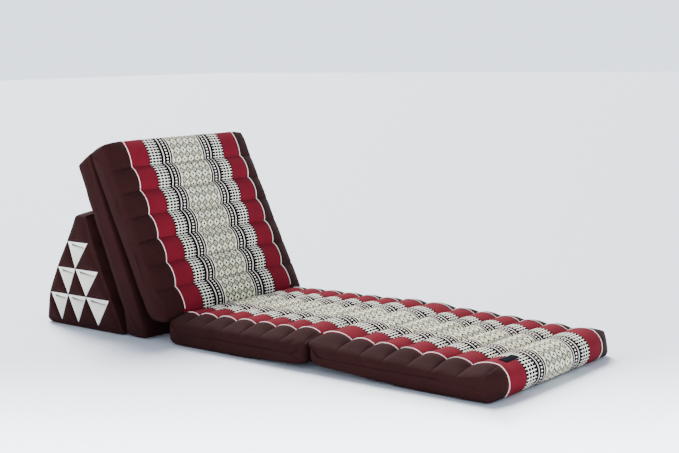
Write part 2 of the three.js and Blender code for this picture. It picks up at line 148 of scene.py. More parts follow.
class CushionColours(PropertyGroup):
    brown: colour_property("Brown", "Plain borders, sides and backs", "#2b1211")
    red: colour_property("Red", "Stripes beside the toothed bands", "#6b1221")
    cream: colour_property("Cream", "Ground of the lattice", "#eeeacb")
    lattice: colour_property("Lattice", "Lines of the lattice", "#0b0a06")
    black: colour_property("Black", "Narrow stripes and teeth", "#0a0504")
    white: colour_property("White", "White bars and dots", "#fffbe8")
    pink: colour_property("Pale pink", "Thin lines of the narrow band", "#eddcd6")
    piping: colour_property("Piping", "Cords along the ribbed faces", "#fff1e6")
    pocket: colour_property("Pockets", "Cloth of the pockets", "#f8f6ea")
    label: colour_property("Label", "Plain tab at the foot end", "#090a16")
    rim: colour_property("Pocket rim", "Folded edges of the pockets", "#fffdf6")
    # Painted shade: the dark colour that a pocket's cloth takes along its crease and towards its deep tip
    fold: colour_property("Pocket fold", "Seam in the fold of a pocket", "#221d16")
    thread: colour_property("Thread", "Sewing thread", "#3a2122")
    floor: colour_property("Floor", "Studio floor", "#ebf0f8")


# Outlines. A knot is a corner of a case's outline, which runs anticlockwise seen from the near
# side. The cloth from it to the next knot stands out by rise, and drop is the side seam's pull.
@dataclass
class Knot:
    at: Vector
    rise: float = 0.0
    drop: Vector = field(default_factory=lambda: Vector((0, 0)))
    ribbed: bool = False


@dataclass
class Case:
    knots: list
    centre: Vector
    lengthwise: Vector
    half_length: float
    half_depth: float = HALF_THICKNESS
    half_width: float = HALF_WIDTH
    end_tucks: tuple = (1.0, 1.0)  # shares of the tuck before and after the centre, lengthwise
    face_tucks: tuple = (1.0, 1.0)  # and the same for the two faces


# How the cloth runs at one place across the width, what it is along the outline, and the points
# of one row of it
Station = namedtuple("Station", "y puff drop tuck groove")
Skin = namedtuple("Skin", "ribbed fade valley along")
Row = namedtuple("Row", "y tuck points")


def spot(x, z):
    """A point of the long section, given in channels from where backrest and seat meet."""
    return Vector((FLOOR_ORIGIN + x * CHANNEL, z * CHANNEL))


def across_at(p, y):
    """A point of the long section, brought to y across the width."""
    return Vector((p.x, y, p.y))


def outward_of(run):
    """The direction out of an anticlockwise outline beside a run of it."""
    return Vector((run.y, -run.x)).normalized()


def closed_pairs(items):
    """Each item with the next, and the last with the first."""
    return zip(items, items[1:] + items[:1])


def lengths_along(points):
    """How far each point lies along the line through all of them."""
    along = [0.0]
    for here, after in zip(points, points[1:]):
        along.append(along[-1] + (after - here).length)
    return along


def heading(degrees):
    angle = math.radians(degrees)
    return Vector((math.cos(angle), math.sin(angle)))


def knot(at, rise=0.0, drop=None, ribbed=False):
    """A knot whose rise is given in channels."""
    return Knot(at, rise * CHANNEL, drop or Vector((0, 0)), ribbed)


def ribbed_face(start, end, lengths, rise, first_rise=None, last_rise=None, bow=0.0, side_drop=SIDE_DROP):
    """Knots of a ribbed face, where bow pushes the valleys of the middle outwards."""
    run = end - start
    outward = outward_of(run)
    rises = [rise] * len(lengths)
    rises[0] = rise if first_rise is None else first_rise
    rises[-1] = rise if last_rise is None else last_rise
    knots, passed = [], 0.0
    for length, height in zip(lengths, rises):
        t = passed / sum(lengths)
        arch = 4 * t * (1 - t)  # 1 in the middle
        at = start + run * t + outward * (bow * arch * CHANNEL)
        knots.append(knot(at, height, outward * -side_drop * CHANNEL, ribbed=True))
        passed += length
    return knots


def leg_rest_case():
    hinge = spot(*HINGE) + Vector((GAP / 2, 0))
    drop = Vector((0, -SIDE_DROP * CHANNEL))
    knots = [
        knot(spot(7.22, 0.22)),
        knot(spot(8.42, 0.17)),
        knot(spot(10.9, 0.02)),
        knot(spot(11.3, 0)),
        knot(spot(14.4, 0)),
        knot(spot(14.54, 0.04), rise=0.34, ribbed=True),
        knot(spot(14.4, 1.09), rise=0.12, drop=drop, ribbed=True),
        *ribbed_face(spot(13.37, 0.95), hinge, [1] * 5 + [1.38], 0.2, last_rise=0.25),
        knot(hinge, drop=drop),
        knot(spot(7.08, 0.98), rise=0.02, drop=drop / 2),
        knot(spot(7.1, 0.4)),
    ]
    tucks = {"end_tucks": (1.0, BACK_TUCK), "face_tucks": (FLOOR_TUCK, 1.0)}
    return Case(knots, spot(10.9, 0.55), heading(0), 3.9 * CHANNEL, **tucks)


def seat_case():
    junction = spot(*JUNCTION) + Vector((GAP, -GAP))
    hinge = spot(*HINGE) - Vector((GAP / 2, 0))
    drop = Vector((0, -SIDE_DROP * CHANNEL))
    lengths = [1.186] + [1] * 5 + [0.807]
    knots = [
        knot(spot(0.08, 0)),
        knot(spot(3.9, 0)),
        knot(spot(6.76, 0.16)),
        knot(spot(6.89, 0.32), rise=0.02),
        knot(spot(6.92, 0.98), drop=drop / 2),
        *ribbed_face(hinge, junction, lengths, 0.19, first_rise=0.25, last_rise=0.14),
        knot(junction, drop=drop),
        knot(spot(-0.02, 0.9), rise=0.02, drop=drop / 2),
        knot(spot(-0.06, 0.14)),
    ]
    tucks = (FLOOR_TUCK, 1.0)
    return Case(knots, spot(3.45, 0.54), heading(0), 3.5 * CHANNEL, face_tucks=tucks)


def backrest_case():
    up = heading(180 - BACK_LEAN)
    out = heading(90 - BACK_LEAN)
    junction = spot(*JUNCTION) - Vector((GAP / 2, 0))
    drop = out * -SIDE_DROP * CHANNEL

    def local(height, depth):
        return junction + up * height * CHANNEL + out * (depth - THICKNESS) * CHANNEL

    knots = [
        knot(spot(*TOP_SEAM) + Vector((GAP / 2, 0))),
        knot(local(7.28, 0)),
        knot(local(0.42, 0)),
        knot(local(0.2, 0.12), rise=0.03),
        knot(local(-0.12, 0.84), drop=drop / 2),
        *ribbed_face(junction, local(6.275, THICKNESS), [1.13] + [1] * 5, 0.2),
        knot(local(6.275, THICKNESS), rise=0.14, drop=drop, ribbed=True),
        knot(local(7.4, THICKNESS), rise=0.13, drop=drop, ribbed=True),
    ]
    tucks = (1.0, BACK_TUCK)
    return Case(knots, local(3.6, THICKNESS / 2), up, 3.75 * CHANNEL, face_tucks=tucks)


def inner_panel_case():
    up = heading(180 - INNER_LEAN)
    to_wedge = heading(270 - INNER_LEAN)
    foot = spot(-1.16, 0)
    drop = to_wedge * -SIDE_DROP * CHANNEL

    def local(height, depth):
        return foot + up * height * CHANNEL + to_wedge * depth * CHANNEL

    knots = [
        knot(spot(-2.4, 0)),
        knot(spot(-1.34, 0)),
        knot(local(0.2, 0)),
        knot(local(7.68, 0)),
        knot(spot(*TOP_SEAM) - Vector((GAP / 2, 0)), rise=0.12, ribbed=True),
        *ribbed_face(local(7.74, THICKNESS), local(1.5, THICKNESS), [1] * 6, 0.13),
        knot(local(1.5, THICKNESS), drop=drop, ribbed=True),
        knot(spot(-2.53, 0.08)),
    ]
    tucks = (BACK_TUCK, 1.0)
    return Case(knots, local(3.95, THICKNESS / 2), up, 3.95 * CHANNEL, face_tucks=tucks)


REAR_VALLEYS = [(-5.34, 4.72), (-5.96, 3.6), (-6.68, 2.5), (-7.23, 1.36)]  # from the ridge down


def wedge_case():
    ridge_front, front_foot = spot(-4.66, 4.72), spot(-2.55, 0.08)
    side_drop = 0.04
    down = Vector((0, -side_drop * CHANNEL))
    front = {"first_rise": 0.03, "last_rise": 0.09, "bow": -0.1, "side_drop": side_drop}
    knots = [
        knot(spot(-7.27, 0)),
        knot(spot(-2.64, 0)),
        *ribbed_face(front_foot, ridge_front, [1.25, 1, 1, 1], 0.15, **front),
        knot(ridge_front, rise=0.12, drop=down),
        *[knot(spot(x, z), rise=0.17, drop=down, ribbed=True) for x, z in REAR_VALLEYS],
        knot(spot(-7.47, 0.16), rise=0.055),
    ]
    reach = 9 * CHANNEL  # far outside the wedge, so that its edge rounds in only a little
    return Case(knots, spot(-5, 1.5), heading(0), reach, reach, WEDGE_HALF_WIDTH)


CASES = {
    "wedge": wedge_case(),
    "inner_panel": inner_panel_case(),
    "backrest": backrest_case(),
    "seat": seat_case(),
    "leg_rest": leg_rest_case(),
}


def stretch_cuts(case):
    """How many facets each knot's stretch is cut into."""
    cuts = []
    for here, after in closed_pairs(case.knots):
        length = (after.at - here.at).length
        if here.ribbed or here.rise:
            cuts.append(max(RIB_CUTS_LEAST, round(RIB_CUTS * length / CHANNEL)))
        else:
            cuts.append(max(1, round(length / PLAIN_STEP)))
    return cuts


RIB_FULLNESS = 2.4  # 2 is a parabola, more is squarer


def section(case, station):
    """The outline of a case at one station across its width, as points of the long section."""
    corners = [k.at + k.drop * station.drop for k in case.knots]
    line, ribbed = [], []
    for i, (k, cuts) in enumerate(zip(case.knots, stretch_cuts(case))):
        chord = corners[(i + 1) % len(corners)] - corners[i]
        outward = outward_of(chord)
        for cut in range(cuts):
            t = cut / cuts
            if k.ribbed:  # finer beside the valleys
                t = 0.5 - 0.5 * math.cos(math.pi * t)
            lift = k.rise * station.puff * (1 - abs(2 * t - 1) ** RIB_FULLNESS)
            line.append(corners[i] + chord * t + outward * lift)
            ribbed.append(k.ribbed)
    line = round_corners(line, ribbed)
    depthwise = Vector((-case.lengthwise.y, case.lengthwise.x))
    count = len(line)
    points = []
    for i, p in enumerate(line):
        if ribbed[i] and station.groove:
            p = p - outward_of(line[(i + 1) % count] - line[i - 1]) * station.groove
        away = p - case.centre
        length, depth = away.dot(case.lengthwise), away.dot(depthwise)
        length *= 1 - tuck_on(case, station.tuck, case.end_tucks[length > 0]) / case.half_length
        depth *= 1 - tuck_on(case, station.tuck, case.face_tucks[depth > 0]) / case.half_depth
        points.append(case.centre + case.lengthwise * length + depthwise * depth)
    return points


EDGE_RADIUS = 14 * MM
SIDE_DEPTH = 0.97  # how far a panel's side is closed by rows, as a share of its half depth


def tuck_on(case, tuck, share):
    """The tuck where the edge is rounded by a share of its radius. The rows on the side, past the
    edge, still meet in the middle."""
    edge = min(tuck, EDGE_RADIUS)
    inner = SIDE_DEPTH * case.half_depth
    return edge * share + (tuck - edge) * (inner - EDGE_RADIUS * share) / (inner - EDGE_RADIUS)


def round_corners(line, ribbed):
    """Rounds the corners of the plain stretches, and leaves the stitched valleys sharp."""
    count = len(line)
    free = [not ribbed[i] and not ribbed[i - 1] for i in range(count)]
    for _ in range(CORNER_PASSES):
        line = [
            (line[i - 1] + line[i] * 2 + line[(i + 1) % count]) / 4 if free[i] else line[i]
            for i in range(count)
        ]
    return line


def skin_of(case):
    """For each point of the outline: whether it is ribbed, how near a valley it is, which valley
    that is, and how far along the cloth it lies."""
    middle = section(case, Station(0, 1, 0, 0, 0))
    along = lengths_along(middle + middle[:1])
    ribbed, fade, valley = [], [], []
    starts = [0]
    for cuts in stretch_cuts(case):
        starts.append(starts[-1] + cuts)
    for number, k in enumerate(case.knots):
        low, high = along[starts[number]], along[starts[number + 1]]
        for i in range(starts[number], starts[number + 1]):
            nearer_first = along[i] - low < high - along[i]
            ribbed.append(k.ribbed)
            fade.append(min(along[i] - low, high - along[i]) if k.ribbed else 1.0)
            valley.append(number if nearer_first else number + 1)
    first = along[ribbed.index(True)]
    return Skin(ribbed, fade, valley, [a - first for a in along])


# Stations across the width
SIDE_CROWN = 2.5 * MM  # how far a panel's side bulges
GROOVE_HALF = 3.2 * MM  # of the seam that sinks beside the piping, across
FLATTER_AT_PIPING = 0.18  # share of the channels' rise that is gone at the piping
FLATTER_CURVE = 3  # how late it goes: more is later
BORDER_FADE = 1.2  # how the rest goes in the brown border: more is sooner
DROP_CURVE = 2.8  # how the border falls to the side seam: more is later


def station_at(y, half_width, seam_sink):
    """The puff, drop, tuck and groove of the section at y."""
    away = abs(y)
    groove = seam_sink * math.exp(-(((away - PIPING_Y) / GROOVE_HALF) ** 2))
    if away <= PIPING_Y:
        puff = 1 - FLATTER_AT_PIPING * (away / PIPING_Y) ** FLATTER_CURVE
        return Station(y, puff, 0.0, 0.0, groove)
    share = (away - PIPING_Y) / (half_width - PIPING_Y)
    puff = (1 - FLATTER_AT_PIPING) * max(0.0, math.cos(share * math.pi / 2)) ** BORDER_FADE
    drop = math.sin(share * math.pi / 2) ** DROP_CURVE
    return Station(y, puff, drop, 0.0, groove)


def stations_of(case, seam_sink):
    """Stations from the near side to the far side. A panel's sides go on inwards to its middle."""
    panel = case.half_width == HALF_WIDTH
    edge = case.half_width - EDGE_RADIUS
    steps = round(edge / STATION_STEP)
    half = [station_at(edge * i / steps, case.half_width, seam_sink) for i in range(steps + 1)]
    for i in range(1, EDGE_STEPS + 1):
        turn = math.pi / 2 * i / EDGE_STEPS
        s = station_at(edge + EDGE_RADIUS * math.sin(turn), case.half_width, seam_sink)
        half.append(s._replace(tuck=EDGE_RADIUS * (1 - math.cos(turn))))
    if panel:
        inner = SIDE_DEPTH * case.half_depth
        for i in range(1, SIDE_STEPS + 1):
            share = i / SIDE_STEPS
            crown = SIDE_CROWN * math.sin(share * math.pi / 2)
            tuck = EDGE_RADIUS + (inner - EDGE_RADIUS) * share
            half.append(Station(case.half_width + crown, 0.0, 1.0, tuck, 0.0))
    return [s._replace(y=-s.y) for s in reversed(half[1:])] + half


NOISE_LEVEL = 0.5  # off the noise's own grid, on which it is always 0
PLEAT_SEED = 7.3  # how far apart in the noise two valleys are, for their gathers
PINCH_SEED = 3.7  # and for how hard they pull


def pleats(position, spacing, valley):
    """Uneven gathers from -1 to 1."""
    return noise.noise(Vector((position / spacing, valley * PLEAT_SEED, NOISE_LEVEL)))


def filling(place, spacing):
    """Soft lumps from -1 to 1."""
    return noise.noise(place / spacing)


def add_object(name, data):
    added = bpy.data.objects.new(name, data)
    bpy.context.scene.collection.objects.link(added)
    return added


def new_object(name, vertices, faces, materials, face_materials=None, uvs=None, shades=None):
    mesh = bpy.data.meshes.new(name)
    mesh.from_pydata(vertices, [], faces)
    for material in materials:
        mesh.materials.append(material)
    if face_materials:
        mesh.polygons.foreach_set("material_index", face_materials)
    if uvs:
        layer = mesh.uv_layers.new(name="cloth")
        layer.data.foreach_set("uv", [value for corner in uvs for value in corner])
    if shades:
        mesh.attributes.new("shade", "FLOAT", "POINT").data.foreach_set("value", shades)
    mesh.polygons.foreach_set("use_smooth", [True] * len(mesh.polygons))
    mesh.validate()
    mesh.update()
    return add_object(name, mesh)


def stand_in(piece, node):
    """Lets a piece take the place of its solid on the body."""
    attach(piece, BODY)
    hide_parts(node)


def puff_out(piece, amounts):
    """Moves each vertex along its normal."""
    mesh = piece.data
    normals = [v.normal.copy() for v in mesh.vertices]
    for vertex, normal, amount in zip(mesh.vertices, normals, amounts):
        vertex.co += normal * amount
    mesh.update()


@dataclass
class Shell:
    """A case's skin while it is put together."""

    vertices: list = field(default_factory=list)
    amounts: list = field(default_factory=list)
    faces: list = field(default_factory=list)
    materials: list = field(default_factory=list)
    uvs: list = field(default_factory=list)


RIBBED, PLAIN = 0, 1  # a case's materials

# How the cloth stands out of its plain form
RESTING = 3 * MM  # plain cloth lower than this lies flat on the floor
PUCKER_REACH = 0.8  # how far the gathers run from a valley, in gathers
PUCKER_CLEAR = 4 * MM  # the gathers start beside the seam itself
PINCH_HALF = 5 * MM  # across a valley
PINCH_REACH = 11 * MM  # past the side's edge
PINCH_PULL = 0.8  # how hard a valley pulls in the border
PINCH_UNEVEN = 0.6  # and how far that varies
PINCH_PER_METRE = 5  # and how often
CREASE_REACH = 3  # widths, past which a crease is gone
CREASE_END = 0.15  # a crease's depth is a half wave without this share at either end


def skin_amount(place, skin, i, tuck, sizes, creases, half_width):
    """How far the cloth stands out of its plain form at a vertex."""
    lift = filling(place, sizes.lump_spacing) * sizes.lump
    border = min(1.0, max(0.0, (abs(place.y) - PIPING_Y) / (half_width - PIPING_Y)))
    if skin.ribbed[i]:
        near_valley = math.exp(-skin.fade[i] / (sizes.pucker_spacing * PUCKER_REACH) - tuck / PINCH_REACH)
        away = min(1.0, skin.fade[i] / PUCKER_CLEAR)
        lift *= 1 - near_valley
        lift += pleats(place.y, sizes.pucker_spacing, skin.valley[i]) * sizes.pucker * near_valley * away
        where = Vector((skin.valley[i] * PINCH_SEED, place.y * PINCH_PER_METRE, NOISE_LEVEL))
        pull = PINCH_PULL + PINCH_UNEVEN * noise.noise(where)
        beside = math.exp(-((skin.fade[i] / PINCH_HALF) ** 2))
        lift -= sizes.pinch * pull * border * beside * math.exp(-tuck / PINCH_REACH)
    elif place.z < RESTING:
        return 0.0
    return lift - crease_depth(place, creases, half_width)


def crease_depth(place, creases, half_width):
    """How far all creases together pull the cloth in."""
    border, depth = half_width - PIPING_Y, 0.0
    for crease in creases:
        if place.y * crease.side <= 0:
            continue
        start, end = (
            across_at(spot(x, z), crease.side * (PIPING_Y + share * border))
            for x, share, z in (crease.start, crease.end)
        )
        run = end - start
        t = max(0.0, min(1.0, (place - start).dot(run) / run.length_squared))
        away = (place - start - run * t).length
        if away < CREASE_REACH * crease.width:
            swell = math.sin(math.pi * (CREASE_END + (1 - 2 * CREASE_END) * t))
            depth += crease.depth * swell * math.exp(-((away / crease.width) ** 2))
    return depth


# Creases pulled into the brown sides, from start to end, each as channels along, share of the
# border's width from the piping to the side, and channels up. A negative depth is a raised edge.
Crease = namedtuple("Crease", "side start end depth width")
NEAR, FAR = -1, 1
SIDES = {"near": NEAR, "far": FAR}


def both_sides(start, end, depth, width):
    return [Crease(side, start, end, depth * MM, width * MM) for side in (NEAR, FAR)]


CREASES = {
    "seat": [
        *both_sides((6.86, 1, 0.98), (6.3, 1, 0.5), 3.6, 4.5),
        *both_sides((6.8, 1, 0.3), (6.2, 1, 0.62), 2.6, 5),
        *both_sides((6.88, 0.2, 1.16), (6.88, 1, 0.98), 3.2, 4),
        *both_sides((6.5, 0.9, 1.1), (6.05, 1, 0.72), 2.2, 4),
        *both_sides((0.02, 1, 0.95), (0.75, 1, 0.45), 3.2, 5),
        *both_sides((0.05, 1, 0.3), (0.6, 1, 0.62), 2, 6),
        Crease(NEAR, (2.1, 1, 0.85), (2.9, 1, 0.5), 1.6 * MM, 7 * MM),
        Crease(NEAR, (4.3, 1, 0.8), (3.7, 1, 0.42), 1.5 * MM, 7 * MM),
        Crease(FAR, (3.2, 1, 0.85), (2.6, 1, 0.45), 1.6 * MM, 8 * MM),
    ],
    "leg_rest": [
        *both_sides((7.1, 1, 0.95), (7.8, 1, 0.5), 3.2, 4.5),
        *both_sides((14.38, 0.12, 1.1), (14.36, 1, 0.93), 2.6, 3.2),
        *both_sides((14.44, 1, 0.9), (14.47, 1, 0.12), -2.6, 4.5),
        *both_sides((14.3, 1, 0.86), (13.75, 1, 0.45), 2.2, 6),
        Crease(NEAR, (12.9, 1, 0.85), (12.2, 1, 0.5), 1.8 * MM, 7 * MM),
        Crease(NEAR, (9.2, 1, 0.85), (9.9, 1, 0.45), 1.6 * MM, 8 * MM),
        Crease(NEAR, (11.2, 1, 0.75), (10.6, 1, 0.35), 1.4 * MM, 8 * MM),
        Crease(FAR, (11.9, 1, 0.85), (12.5, 1, 0.45), 1.8 * MM, 8 * MM),
    ],
    "backrest": [
        *both_sides((-3.3, 0.9, 7.75), (-3.6, 1, 6.9), 2.8, 5),
        *both_sides((-0.15, 1, 1.2), (-0.8, 1, 1.9), 3.0, 6),
        Crease(NEAR, (-1.4, 1, 3.6), (-1.75, 1, 3.1), 1.5 * MM, 8 * MM),
        Crease(NEAR, (-2.4, 1, 5.7), (-2.8, 1, 5.0), 1.5 * MM, 8 * MM),
    ],
    "inner_panel": [
        *both_sides((-4.5, 1, 7.2), (-4.1, 1, 6.3), 2.6, 6),
        *both_sides((-1.6, 1, 0.3), (-2.1, 1, 1.0), 2.6, 6),
    ],
    "wedge": [],
}


def lay_skin(shell, case, skin, rows, sizes, creases):
    """Adds the skin through all rows of points."""
    count = len(rows[0].points)
    for row in rows:
        for i, p in enumerate(row.points):
            place = across_at(p, row.y)
            shell.vertices.append(place)
            amount = skin_amount(place, skin, i, row.tuck, sizes, creases, case.half_width)
            shell.amounts.append(amount)
    spread = spread_across(rows, case)
    for row in range(len(rows) - 1):
        for i in range(count):
            after = (i + 1) % count
            a, b = row * count + i, row * count + after
            shell.faces.append((a, a + count, b + count, b))
            shell.materials.append(RIBBED if skin.ribbed[i] else PLAIN)
            u0, u1 = spread[row], spread[row + 1]
            v0, v1 = skin.along[i], skin.along[i + 1]
            shell.uvs += [(u0, v0), (u1, v0), (u1, v1), (u0, v1)]


EDGE_ROW = SIDE_STEPS  # how many rows lie on a panel's side, beyond its edge


def spread_across(rows, case):
    """How far each row lies from the middle along the cloth."""
    edge = case.half_width
    spread = []
    for y, _, points in rows:
        inward = 0.0
        if abs(y) >= edge:
            outermost = rows[EDGE_ROW] if y < 0 else rows[-1 - EDGE_ROW]
            inward = (points[0] - outermost.points[0]).length
        spread.append(math.copysign(min(abs(y), edge) + inward, y))
    return spread


def close_panel(shell, rows):
    """Closes the last sliver in the middle of both sides of a panel."""
    count = len(rows[0].points)
    last = (len(rows) - 1) * count
    for ring in (range(count), range(last + count - 1, last - 1, -1)):
        shell.faces.append(tuple(ring))
        shell.materials.append(PLAIN)
        shell.uvs += [(shell.vertices[i].x, shell.vertices[i].z) for i in ring]


# The wedge's ends are sewn from rows of triangles: the upright ones are filled and brown, and
# the ones that point down are sunk pockets. Each row has its height and its corners' places.
EndRow = namedtuple("EndRow", "z corners")
END_ROWS = [
    EndRow(4.6, [-5.26, -4.74]),
    EndRow(3.57, [-5.86, -4.62]),
    EndRow(2.45, [-6.56, -5.47, -4.04]),
    EndRow(1.33, [-7.1, -6.0, -4.87, -3.44]),
    EndRow(0.2, [-7.32, -6.47, -5.41, -4.16, -2.9]),
]
POCKET_MARGIN = 0.08  # of seam round a pocket, as a share of the way to its middle
POCKET_CLEAR = 1.5 * MM  # between the case and the pocket's cloth
END_FULLNESS = (2.6, 0.85)  # exponents of a filled triangle's crown: more and less are squarer


def end_point(row, column):
    return spot(END_ROWS[row].corners[column], END_ROWS[row].z)


def pocket_corners():
    return [
        [end_point(row, column), end_point(row + 1, column + 1), end_point(row, column + 1)]
        for row in range(1, len(END_ROWS) - 1)
        for column in range(row)
    ]


def upright_corners():
    crown = [[end_point(0, 0), end_point(1, 0), end_point(1, 1), end_point(0, 1)]]
    return crown + [
        [end_point(row, column), end_point(row + 1, column), end_point(row + 1, column + 1)]
        for row in range(1, len(END_ROWS) - 1)
        for column in range(row + 1)
    ]


def middle_of(corners):
    return sum(corners, Vector((0, 0))) / len(corners)


def depth_inside(p, corners):
    """0 on the outline of an anticlockwise polygon, 1 at its middle, negative outside."""
    middle = middle_of(corners)
    shares = []
    for a, b in closed_pairs(corners):
        out = outward_of(b - a)
        shares.append((p - a).dot(out) / (middle - a).dot(out))
    return min(shares)


def end_height(p, pocket_depth):
    """How far the wedge's end stands out at a point of the long section."""
    bulge, fullness = END_FULLNESS
    for corners in upright_corners():
        share = depth_inside(p, corners)
        if share > 0:
            return END_PUFF * (1 - (1 - min(1.0, share)) ** bulge) ** fullness
    for corners in pocket_corners():
        share = (depth_inside(p, corners) - POCKET_MARGIN) / (1 - POCKET_MARGIN)
        if share > 0:
            return -pocket_depth * share - POCKET_CLEAR
    return 0.0


def split_line(a, b, step):
    cuts = max(1, round((b - a).length / step))
    return [a + (b - a) * i / cuts for i in range(cuts + 1)]


INSIDE_ONLY = 1  # the triangulation's code for the part inside the outline
MERGE_WITHIN = 1e-6  # metres


def end_net(outline):
    """Triangulates the wedge's end, with an edge along every seam. Gives the points, the faces
    and which points belong to the outline."""
    points = [p.copy() for p in outline]
    edges = [(i, (i + 1) % len(outline)) for i in range(len(outline))]
    for corners in upright_corners() + pocket_corners():
        for a, b in closed_pairs(corners):
            line = split_line(a, b, END_STEP)
            first = len(points)
            points += line
            edges += [(first + i, first + i + 1) for i in range(len(line) - 1)]
    low = Vector((min(p.x for p in outline), min(p.y for p in outline)))
    high = Vector((max(p.x for p in outline), max(p.y for p in outline)))
    seams = list(points)
    row_step = END_STEP * math.sqrt(3) / 2
    for row in range(int((high.y - low.y) / row_step)):
        z = low.y + (row + 0.5) * row_step
        shift = END_STEP / 2 * (row % 2)
        for column in range(int((high.x - low.x) / END_STEP)):
            p = Vector((low.x + shift + column * END_STEP, z))
            if lies_inside(p, outline) and all((p - q).length_squared > (END_STEP / 2) ** 2 for q in seams):
                points.append(p)
    return delaunay_2d_cdt(points, edges, [], INSIDE_ONLY, MERGE_WITHIN)


def lies_inside(p, outline):
    inside = False
    for a, b in closed_pairs(outline):
        if (a.y > p.y) != (b.y > p.y) and p.x < a.x + (b.x - a.x) * (p.y - a.y) / (b.y - a.y):
            inside = not inside
    return inside


def close_wedge(shell, rows, sizes):
    """Builds both ends of the wedge on its last rows."""
    count = len(rows[0].points)
    for side, first, (y, _, outline) in ((NEAR, 0, rows[0]), (FAR, (len(rows) - 1) * count, rows[-1])):
        points, _, faces, origins, _, _ = end_net(outline)
        ids = []
        for p, known in zip(points, origins):
            on_outline = [i for i in known if i < count]
            if on_outline:
                ids.append(first + on_outline[0])
                continue
            ids.append(len(shell.vertices))
            shell.vertices.append(across_at(p, y + side * end_height(p, sizes.pocket_depth)))
            shell.amounts.append(0.0)
        for face in faces:
            turned = face if side < 0 else face[::-1]
            shell.faces.append(tuple(ids[i] for i in turned))
            shell.materials.append(PLAIN)
            shell.uvs += [(points[i].x, points[i].y) for i in turned]


def build_case(name, case, sizes, materials):
    skin = skin_of(case)
    rows = [Row(s.y, s.tuck, section(case, s)) for s in stations_of(case, sizes.seam_sink)]
    shell = Shell()
    lay_skin(shell, case, skin, rows, sizes, CREASES[name])
    if name == "wedge":
        close_wedge(shell, rows, sizes)
    else:
        close_panel(shell, rows)
    piece = new_object(f"{name}_case", shell.vertices, shell.faces, materials, shell.materials, shell.uvs)
    puff_out(piece, shell.amounts)
    stand_in(piece, name)


# Materials
def add_node(tree, kind, inputs=None, **settings):
    """Adds a node. An input is a value, an output, or a node whose first output feeds it."""
    node = tree.nodes.new(kind)
    for name, value in settings.items():
        setattr(node, name, value)
    for key, value in (inputs or {}).items():
        if isinstance(value, bpy.types.Node):
            value = value.outputs[0]
        if isinstance(value, bpy.types.NodeSocket):
            tree.links.new(value, node.inputs[key])
        else:
            node.inputs[key].default_value = value
    return node


def new_material(name):
    material = bpy.data.materials.new(name)
    material.use_nodes = True
    material.node_tree.nodes.clear()
    return material, material.node_tree


def fill_ramp(ramp, stops):
    """Gives a colour ramp hard-edged stops, from pairs of place and colour."""
    ramp.interpolation = "CONSTANT"
    while len(ramp.elements) > 1:
        ramp.elements.remove(ramp.elements[-1])
    ramp.elements[0].position, ramp.elements[0].color = stops[0]
    for place, colour in stops[1:]:
        ramp.elements.new(place).color = colour


WAVE_PER_METRE = 0.314  # the wave texture's scale for one thread per metre
YARN_RUN = 4  # threads over which the yarn's thickness changes
WEAVE_DEPTH = 0.25 * MM  # of the relief, deeper than real, as its threads are coarser
DYE_PATCH = 62.5 * MM  # from one patch of uneven dye to the next
DYE_UNEVEN = 0.1  # how much lighter or darker a patch is
NOISE_SPAN = {"From Min": 0.3, "From Max": 0.7}  # where most of the noise lies


def weave_height(tree, uv, spacing):
    """Plain weave: threads over and under each other, with uneven yarn."""
    wave = {"Vector": uv, "Scale": WAVE_PER_METRE / spacing}
    warp = add_node(tree, "ShaderNodeTexWave", wave, bands_direction="X").outputs["Fac"]
    weft = add_node(tree, "ShaderNodeTexWave", wave, bands_direction="Y").outputs["Fac"]
    threads = add_node(tree, "ShaderNodeMath", {0: warp, 1: weft}, operation="MAXIMUM")
    uneven = {"Vector": uv, "Scale": 1 / (YARN_RUN * spacing), "Detail": 4.0}
    yarn = add_node(tree, "ShaderNodeTexNoise", uneven).outputs["Fac"]
    return add_node(tree, "ShaderNodeMath", {0: threads, 1: yarn}, operation="ADD")


def finish_cotton(tree, colour, uv, spacing, roughness=0.9, gloss=0.08):
    """Ends a cotton: its uneven dye, its weave and a matt, faintly fuzzy surface."""
    place = add_node(tree, "ShaderNodeTexCoord").outputs["Object"]
    patches = {"Vector": place, "Scale": 1 / DYE_PATCH, "Detail": 8.0, "Roughness": 0.7}
    dye = add_node(tree, "ShaderNodeTexNoise", patches).outputs["Fac"]
    spread = {"Value": dye, **NOISE_SPAN, "To Min": 1 - DYE_UNEVEN, "To Max": 1 + DYE_UNEVEN}
    shade = add_node(tree, "ShaderNodeMapRange", spread)
    tinted = add_node(tree, "ShaderNodeVectorMath", {0: colour, "Scale": shade}, operation="SCALE")
    height = {"Height": weave_height(tree, uv, spacing), "Strength": 0.4, "Distance": WEAVE_DEPTH}
    surface = {
        "Base Color": tinted,
        "Roughness": roughness,
        "Sheen Weight": 0.01,
        "Sheen Roughness": 0.5,
        "Specular IOR Level": gloss,
        "Normal": add_node(tree, "ShaderNodeBump", height),
    }
    shader = add_node(tree, "ShaderNodeBsdfPrincipled", surface)
    add_node(tree, "ShaderNodeOutputMaterial", {"Surface": shader})


def plain_cotton(name, colour, spacing, painted_shade_colour=None, **finish):
    """Dyed plain-weave cotton: matt, with the thread just visible close by. Given a colour of painted
    shade, it mixes that colour in by the shade attribute of its mesh."""
    material, tree = new_material(name)
    uv = add_node(tree, "ShaderNodeUVMap", uv_map="cloth")
    dye = add_node(tree, "ShaderNodeRGB")
    dye.outputs[0].default_value = colour
    # Painted shade, mixed in by the mesh's shade attribute
    if painted_shade_colour:
        shade = add_node(tree, "ShaderNodeAttribute", attribute_name="shade")
        dye = lay_over(tree, shade.outputs["Fac"], dye, painted_shade_colour)
    finish_cotton(tree, dye, uv, spacing, **finish)
    return material


